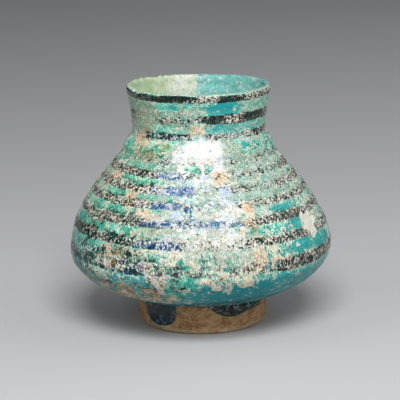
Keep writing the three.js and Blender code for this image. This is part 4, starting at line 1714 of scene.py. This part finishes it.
@dataclass
class Walls:
    """The thrown clay under the glaze, and the slip in its joints."""

    clay: BareStonepaste
    slip: LutingSlip
    columns: int = 240
    cover: float = 0.65
    slip_height: float = 0.6
    gap: float = 0.05
    foot_gap: float = 0.6
    base_pitch: float = 4.0
    pitch: float = 3.0
    fine_pitch: float = 1.0

    def build(self) -> None:
        """Builds the three sections of wall and the slips between them."""
        half = self.slip_height / 2
        apart = half + self.gap
        below, above = BELLY_JOINT - apart, BELLY_JOINT + apart
        under, over = NECK_JOINT - apart, NECK_JOINT + apart
        base = PATH.outside_at_radius(PATH.foot_radius)
        bowl = [
            Rings.span(0.0, base, self.base_pitch, self.columns),
            self.span(base + self.foot_gap, PATH.outside_at(below), self.pitch),
            self.span(PATH.inside_at(below), PATH.end, self.base_pitch),
        ]
        collar = [self.span(PATH.outside_at(over), PATH.inside_at(over), self.fine_pitch)]
        self.solid("lower_body", bowl, self.clay, poles=True)
        self.solid("upper_body", self.belt(above, under, self.pitch), self.clay)
        self.solid("neck_collar", collar, self.clay)
        for name, joint in (("belly_slip", BELLY_JOINT), ("neck_slip", NECK_JOINT)):
            ring = self.belt(joint - half, joint + half, self.fine_pitch)
            self.solid(name, ring, self.slip)

    def span(self, start: float, stop: float, pitch: float) -> Rings:
        """Rings under the glaze."""
        return Rings.span(start, stop, pitch, self.columns, self.cover)

    def belt(self, low: float, high: float, pitch: float) -> list[Rings]:
        """Both faces of the wall between two heights: up the outside and down the inside."""
        return [
            self.span(PATH.outside_at(low), PATH.outside_at(high), pitch),
            self.span(PATH.inside_at(high), PATH.inside_at(low), pitch),
        ]

    def solid(self, name: str, parts: Sequence[Rings], finish: Finish,
              poles: bool = False) -> None:
        """A solid of revolution from its rings, moved by the potter's hand."""
        rings = Rings.joined(parts)
        azimuth = np.broadcast_to(azimuths(self.columns), rings.arc.shape)
        radius, height = PATH.places(rings.arc).at_depth(rings.depth[:, None])
        points = THROWING.place(np.maximum(radius, 0.0), height, azimuth)
        piece = closed_mesh(FIRED + name, points, np.ones(len(rings.depth), bool), poles=poles)
        register(piece, name, finish)


@dataclass
class Foot:
    """The turned foot ring, the slip bead on top of it, and the glaze that ran down over it."""

    clay: BareStonepaste
    slip: LutingSlip
    glaze: RunGlaze
    columns: int = 480
    outside: tuple[Point, ...] = (
        (29.2, 0.0), (30.4, 0.35), (31.4, 1.5), (32.2, 4.5), (32.3, 9.0), (31.9, 13.0), (31.7, 14.5),
    )
    inside: tuple[Point, ...] = ((26.0, 12.6), (26.2, 7.0), (26.6, 1.4), (26.9, 0.0))
    pitch: float = 0.5
    grit: float = 0.1
    turning: float = 0.06
    turning_pitch: float = 2.3
    chip: Patch = Patch(78.0, 1.5, 7.0, 3.2, 1.3)
    chip_inside: float = 28.5
    bead_middle: Point = (29.15, 13.75)
    bead_half: Point = (3.0, 0.42)
    bead_from: float = 26.0
    bead_tilt: float = 0.32
    bead_points: int = 16
    runs: tuple[tuple[Point, ...], ...] = (
        (
            (-61, 13.8), (-58, 9), (-52, 4.2), (-44, 3.0), (-35, 3.3), (-29, 4.8), (-25, 7.0), (-23.5, 11),
            (-22.8, 14.2),
        ),
        (
            (4.6, 14.4), (8, 12.6), (13, 10.6), (19, 9.0), (27, 8.5), (35, 8.8), (42, 10.0), (52, 10.5),
            (62, 10.6), (69, 14.0),
        ),
        ((90, 14.2), (95, 9), (102, 7.2), (109, 7.6), (114, 10), (118, 14.2)),
        ((146, 14.4), (153, 11.6), (163, 10.4), (175, 10.4), (184, 12), (190, 14.4)),
        ((-134, 14.2), (-128, 8), (-119, 5.6), (-110, 6.6), (-105, 10), (-102, 14.2)),
    )
    blue_runs: tuple[int, ...] = (1, 5)
    run_top: float = 15.1
    run_thickness: float = 0.85
    run_gap: float = 0.04
    run_sunk: float = 0.05
    run_columns: int = 110
    run_rows: int = 34
    run_smoothing: int = 9
    degree: float = 0.56

    def build(self) -> None:
        """Builds the foot from its standing face up."""
        self.ring()
        self.bead()
        for number, edge in enumerate(self.runs, start=1):
            self.run(number, np.array(edge, float))

    def radius_at(self, height: Array) -> Array:
        """The foot's outer radius at a height."""
        knots = np.array(self.outside)
        return np.interp(height, knots[:, 1], knots[:, 0])

    def rings(self, knots: Sequence[Point]) -> Array:
        """A profile through knots, with a point every half millimetre or so and rounded by averaging."""
        knots = np.array(knots)
        length = np.concatenate([[0.0], np.cumsum(np.linalg.norm(np.diff(knots, axis=0), axis=1))])
        even = np.linspace(0.0, length[-1], int(length[-1] / self.pitch) + 2)
        profile = np.stack([np.interp(even, length, knots[:, side]) for side in (0, 1)], axis=1)
        rounded = profile.copy()
        rounded[1:-1] = (profile[:-2] + 2 * profile[1:-1] + profile[2:]) / 4
        return rounded

    def ring(self) -> None:
        """The foot ring: turning lines and grit on its side, worn at the edge it stands on."""
        outer = self.rings(self.outside)
        profile = np.concatenate([outer, self.rings(self.inside)])
        azimuth = azimuths(self.columns)[None, :]
        radius, height = np.broadcast_to(profile.T[:, :, None], (2, len(profile), self.columns))
        points = turned(radius, azimuth, height)
        turn = 2 * math.pi * height / self.turning_pitch + 0.5 * np.sin(np.radians(azimuth))
        rough = self.grit * fractal_noise(points, 3.0, Seed.FOOT) + self.turning * np.sin(turn)
        chip = self.chip
        away = (azimuth - chip.azimuth) / chip.half_width
        reach = away**2 + ((height - chip.height) / chip.half_height) ** 2
        reach = reach + 0.4 * fractal_noise(points, 3.0, Seed.CHIP)
        bite = chip.value * (1.0 - smoothstep(0.5, 1.1, reach)) * (radius > self.chip_inside)
        sign = np.where(np.arange(len(profile)) < len(outer), 1.0, -1.0)[:, None]
        points = THROWING.place(radius + sign * smoothstep(0.0, 1.5, height) * rough - bite, height, azimuth)
        piece = closed_mesh(FIRED + "foot_ring", points, np.ones(len(profile), bool))
        register(piece, "foot_ring", self.clay)

    def bead(self) -> None:
        """The slip between the foot and the base, squeezed out into a thin bead: an ellipse in section."""
        turn = np.linspace(0.0, 2 * math.pi, self.bead_points, endpoint=False)[:, None]
        radius = self.bead_middle[0] + self.bead_half[0] * np.cos(turn)
        tilt = self.bead_tilt * (radius - self.bead_from) / (2 * self.bead_half[0])
        height = self.bead_middle[1] + tilt + self.bead_half[1] * np.sin(turn)
        azimuth = azimuths(self.columns)[None, :]
        swell = 0.08 * np.sin(np.radians(7 * azimuth)) + 0.06 * np.sin(np.radians(23 * azimuth))
        points = THROWING.place(radius + swell * np.cos(turn), height, azimuth)
        piece = closed_mesh(FIRED + "foot_slip", points, np.ones(len(turn), bool))
        register(piece, "foot_slip", self.slip)

    def run(self, number: int, edge: Array) -> None:
        """A tongue of glaze: a loop of points for each azimuth, up its face and down its back.

        Its thickness grows with the square root of the way up from its lower edge, and thins to its sides.

        Args:
            number: which run, from 1.
            edge: its lower edge, as azimuths and heights.
        """
        counts = (self.run_columns, self.run_rows)
        share, rise = ((1.0 - np.cos(np.linspace(0.0, math.pi, count))) / 2 for count in counts)
        azimuth = edge[0, 0] + (edge[-1, 0] - edge[0, 0]) * share
        lower = smoothed(np.interp(azimuth, edge[:, 0], edge[:, 1]), self.run_smoothing)
        azimuth, lower = azimuth[:, None], lower[:, None]
        face = lower + (self.run_top - lower) * rise[None, :]
        height = np.concatenate([face, face[:, ::-1][:, 1:-1]], axis=1)
        spots = np.stack(np.broadcast_arrays(self.degree * azimuth, height, np.zeros_like(height)), axis=-1)
        above = np.maximum(height - lower, 0.0)
        inward = np.minimum(azimuth - edge[0, 0], edge[-1, 0] - azimuth) * self.degree
        near = np.sqrt(np.clip(np.minimum(above / 1.1, inward / 1.6), 0.0, 1.0))
        lumps = 1.0 + 0.25 * fractal_noise(spots, 4.0, Seed.RUNS + number)
        thick = self.run_thickness * near * lumps
        thick[:, face.shape[1] :] = -self.run_sunk
        thick[[0, -1]] = 0.0
        radius = self.radius_at(height) + self.run_gap + thick
        radius[[0, -1]] = self.radius_at(edge[[0, -1], 1])[:, None] + self.run_gap
        height[0], height[-1] = edge[0, 1], edge[-1, 1]
        points = THROWING.place(radius, height, np.broadcast_to(azimuth, height.shape))
        points[0], points[-1] = points[0, 0], points[-1, 0]
        name = f"foot_run_{number}"
        piece = closed_mesh(FIRED + name, points, np.ones(len(points), bool), poles=True)
        thin = 1.0 - smoothstep(0.25, 0.95, np.abs(thick) / self.run_thickness)
        blue = np.full(thin.shape, float(number in self.blue_runs))
        write_fields(piece, {Field.GREEN: thin, Field.BLUE: blue})
        register(piece, name, self.glaze)


@dataclass(frozen=True)
class Softbox:
    """A soft studio light: its size, distance and direction from the jar, and its power."""

    name: str
    azimuth: float
    elevation: float
    distance: float
    width: float
    depth: float
    watts: float
    aim_height: float = 60.0

    def build(self) -> None:
        """Adds the light, facing the jar, a step along its direction from the point it aims at."""
        turn, rise = math.radians(self.azimuth), math.radians(self.elevation)
        out = math.cos(rise)
        direction = Vector((out * math.sin(turn), -out * math.cos(turn), math.sin(rise)))
        lamp = bpy.data.lights.new(self.name, "AREA")
        lamp.shape = "RECTANGLE"
        lamp.size = self.width
        lamp.size_y = self.depth
        lamp.energy = self.watts
        piece = linked(self.name, lamp)
        piece.location = Vector((0.0, 0.0, self.aim_height * MM)) + direction * self.distance
        piece.rotation_euler = direction.to_track_quat("Z", "Y").to_euler()


@dataclass
class Studio:
    """The floor, the light and the camera."""

    floor_size: float = 12.0
    floor_colour: str = "#D6D6D9"
    floor_bounce: str = "#A2A2A4"
    floor_roughness: float = 0.9
    world_colour: str = "#E4E6E8"
    world_strength: float = 0.15
    seen_strength: float = 0.8
    lights: tuple[Softbox, ...] = (
        Softbox("key_softbox", 4.0, 46.0, 1.1, 0.62, 0.42, 10.0),
        Softbox("front_fill", 8.0, 7.0, 1.5, 0.9, 0.6, 1.3),
        Softbox("left_fill", -66.0, 36.0, 1.4, 0.8, 0.8, 2.0),
        Softbox("right_fill", 72.0, 38.0, 1.4, 0.9, 0.9, 2.0),
        Softbox("right_rim", 118.0, 30.0, 1.4, 1.1, 1.1, 1.6),
    )
    camera_distance: float = 900.0
    camera_height: float = 268.4
    camera_pitch: float = 12.993
    camera_roll: float = 0.76
    focal_share: float = 1849.0 / 400.0
    sensor: float = 36.0
    clip: Point = (0.05, 50.0)

    def build(self) -> None:
        """Builds the set and frames the jar as the photograph does."""
        self.floor()
        self.world()
        for light in self.lights:
            light.build()
        self.camera()
        bpy.context.scene.view_settings.view_transform = "Standard"

    @staticmethod
    def cleared(owner: bpy.types.Material | bpy.types.World) -> bpy.types.NodeTree:
        """A material's or world's own nodes, with none in them yet."""
        owner.use_nodes = True
        owner.node_tree.nodes.clear()
        return owner.node_tree

    @staticmethod
    def seen_by(tree: bpy.types.NodeTree, *rays: str) -> Socket:
        """1 for rays of any of these kinds, and 0 for others."""
        outputs = add_node(tree, "LightPath").outputs
        found = outputs[f"Is {rays[0]} Ray"]
        for ray in rays[1:]:
            ends = {0: found, 1: outputs[f"Is {ray} Ray"]}
            found = add_node(tree, "Math", ends, operation="MAXIMUM").outputs[0]
        return found

    def floor(self) -> None:
        """A plain pale floor: one large matt square, darker as a light than as it looks."""
        half = self.floor_size / 2
        mesh = bpy.data.meshes.new("floor")
        corners = [(-half, -half, 0.0), (half, -half, 0.0), (half, half, 0.0), (-half, half, 0.0)]
        mesh.from_pydata(corners, [], [(0, 1, 2, 3)])
        paper = bpy.data.materials.new("pale_paper")
        tree = self.cleared(paper)
        seen = self.seen_by(tree, "Camera", "Glossy", "Transmission")
        ends = {MIX_FACTOR: seen, MIX_COLOURS[0]: self.floor_bounce, MIX_COLOURS[1]: self.floor_colour}
        colour = add_node(tree, "Mix", ends, data_type="RGBA").outputs[MIX_COLOUR_OUT]
        shader = add_node(tree, "BsdfPrincipled", {"Base Color": colour, "Roughness": self.floor_roughness})
        add_node(tree, "OutputMaterial", {"Surface": shader.outputs[0]})
        mesh.materials.append(paper)
        piece = linked("floor", mesh)
        piece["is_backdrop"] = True

    def world(self) -> None:
        """A plain pale world, faint as a light and in reflections, and pale where the camera sees it."""
        world = bpy.data.worlds.new("studio")
        tree = self.cleared(world)
        seen = self.seen_by(tree, "Camera", "Transmission")
        ends = {MIX_FACTOR: seen, MIX_NUMBERS[0]: self.world_strength, MIX_NUMBERS[1]: self.seen_strength}
        strength = add_node(tree, "Mix", ends).outputs[0]
        light = add_node(tree, "Background", {"Color": self.world_colour, "Strength": strength})
        add_node(tree, "OutputWorld", {"Surface": light.outputs[0]})
        bpy.context.scene.world = world

    def camera(self) -> None:
        """The camera, fitted to the jar's outline in the photograph and turned a little about its axis."""
        lens = bpy.data.cameras.new("camera")
        lens.sensor_width = self.sensor
        lens.lens = self.sensor * self.focal_share
        lens.clip_start, lens.clip_end = self.clip
        tilt = Matrix.Rotation(math.radians(90.0 - self.camera_pitch), 4, "X")
        roll = Matrix.Rotation(math.radians(-self.camera_roll), 4, "Z")
        stand = Matrix.Translation((0.0, -self.camera_distance * MM, self.camera_height * MM))
        piece = linked("camera", lens)
        piece.matrix_world = stand @ tilt @ roll
        bpy.context.scene.camera = piece


def main() -> None:
    """Builds the jar from the foot up, then the studio."""
    logging.basicConfig(level=logging.INFO, format="%(message)s")
    clay, slip = BareStonepaste(), LutingSlip()
    Foot(clay, slip, RunGlaze()).build()
    Walls(clay, slip).build()
    Lining(InnerGlaze()).build()
    Coats(WornGlazeWithPaintedLight()).build()
    Studio().build()
    boxes = {"cad": cad_box, "visual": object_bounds()}
    {name: [list(corner) for corner in box] for name, box in boxes.items()}


if __name__ == "__main__":
    main()
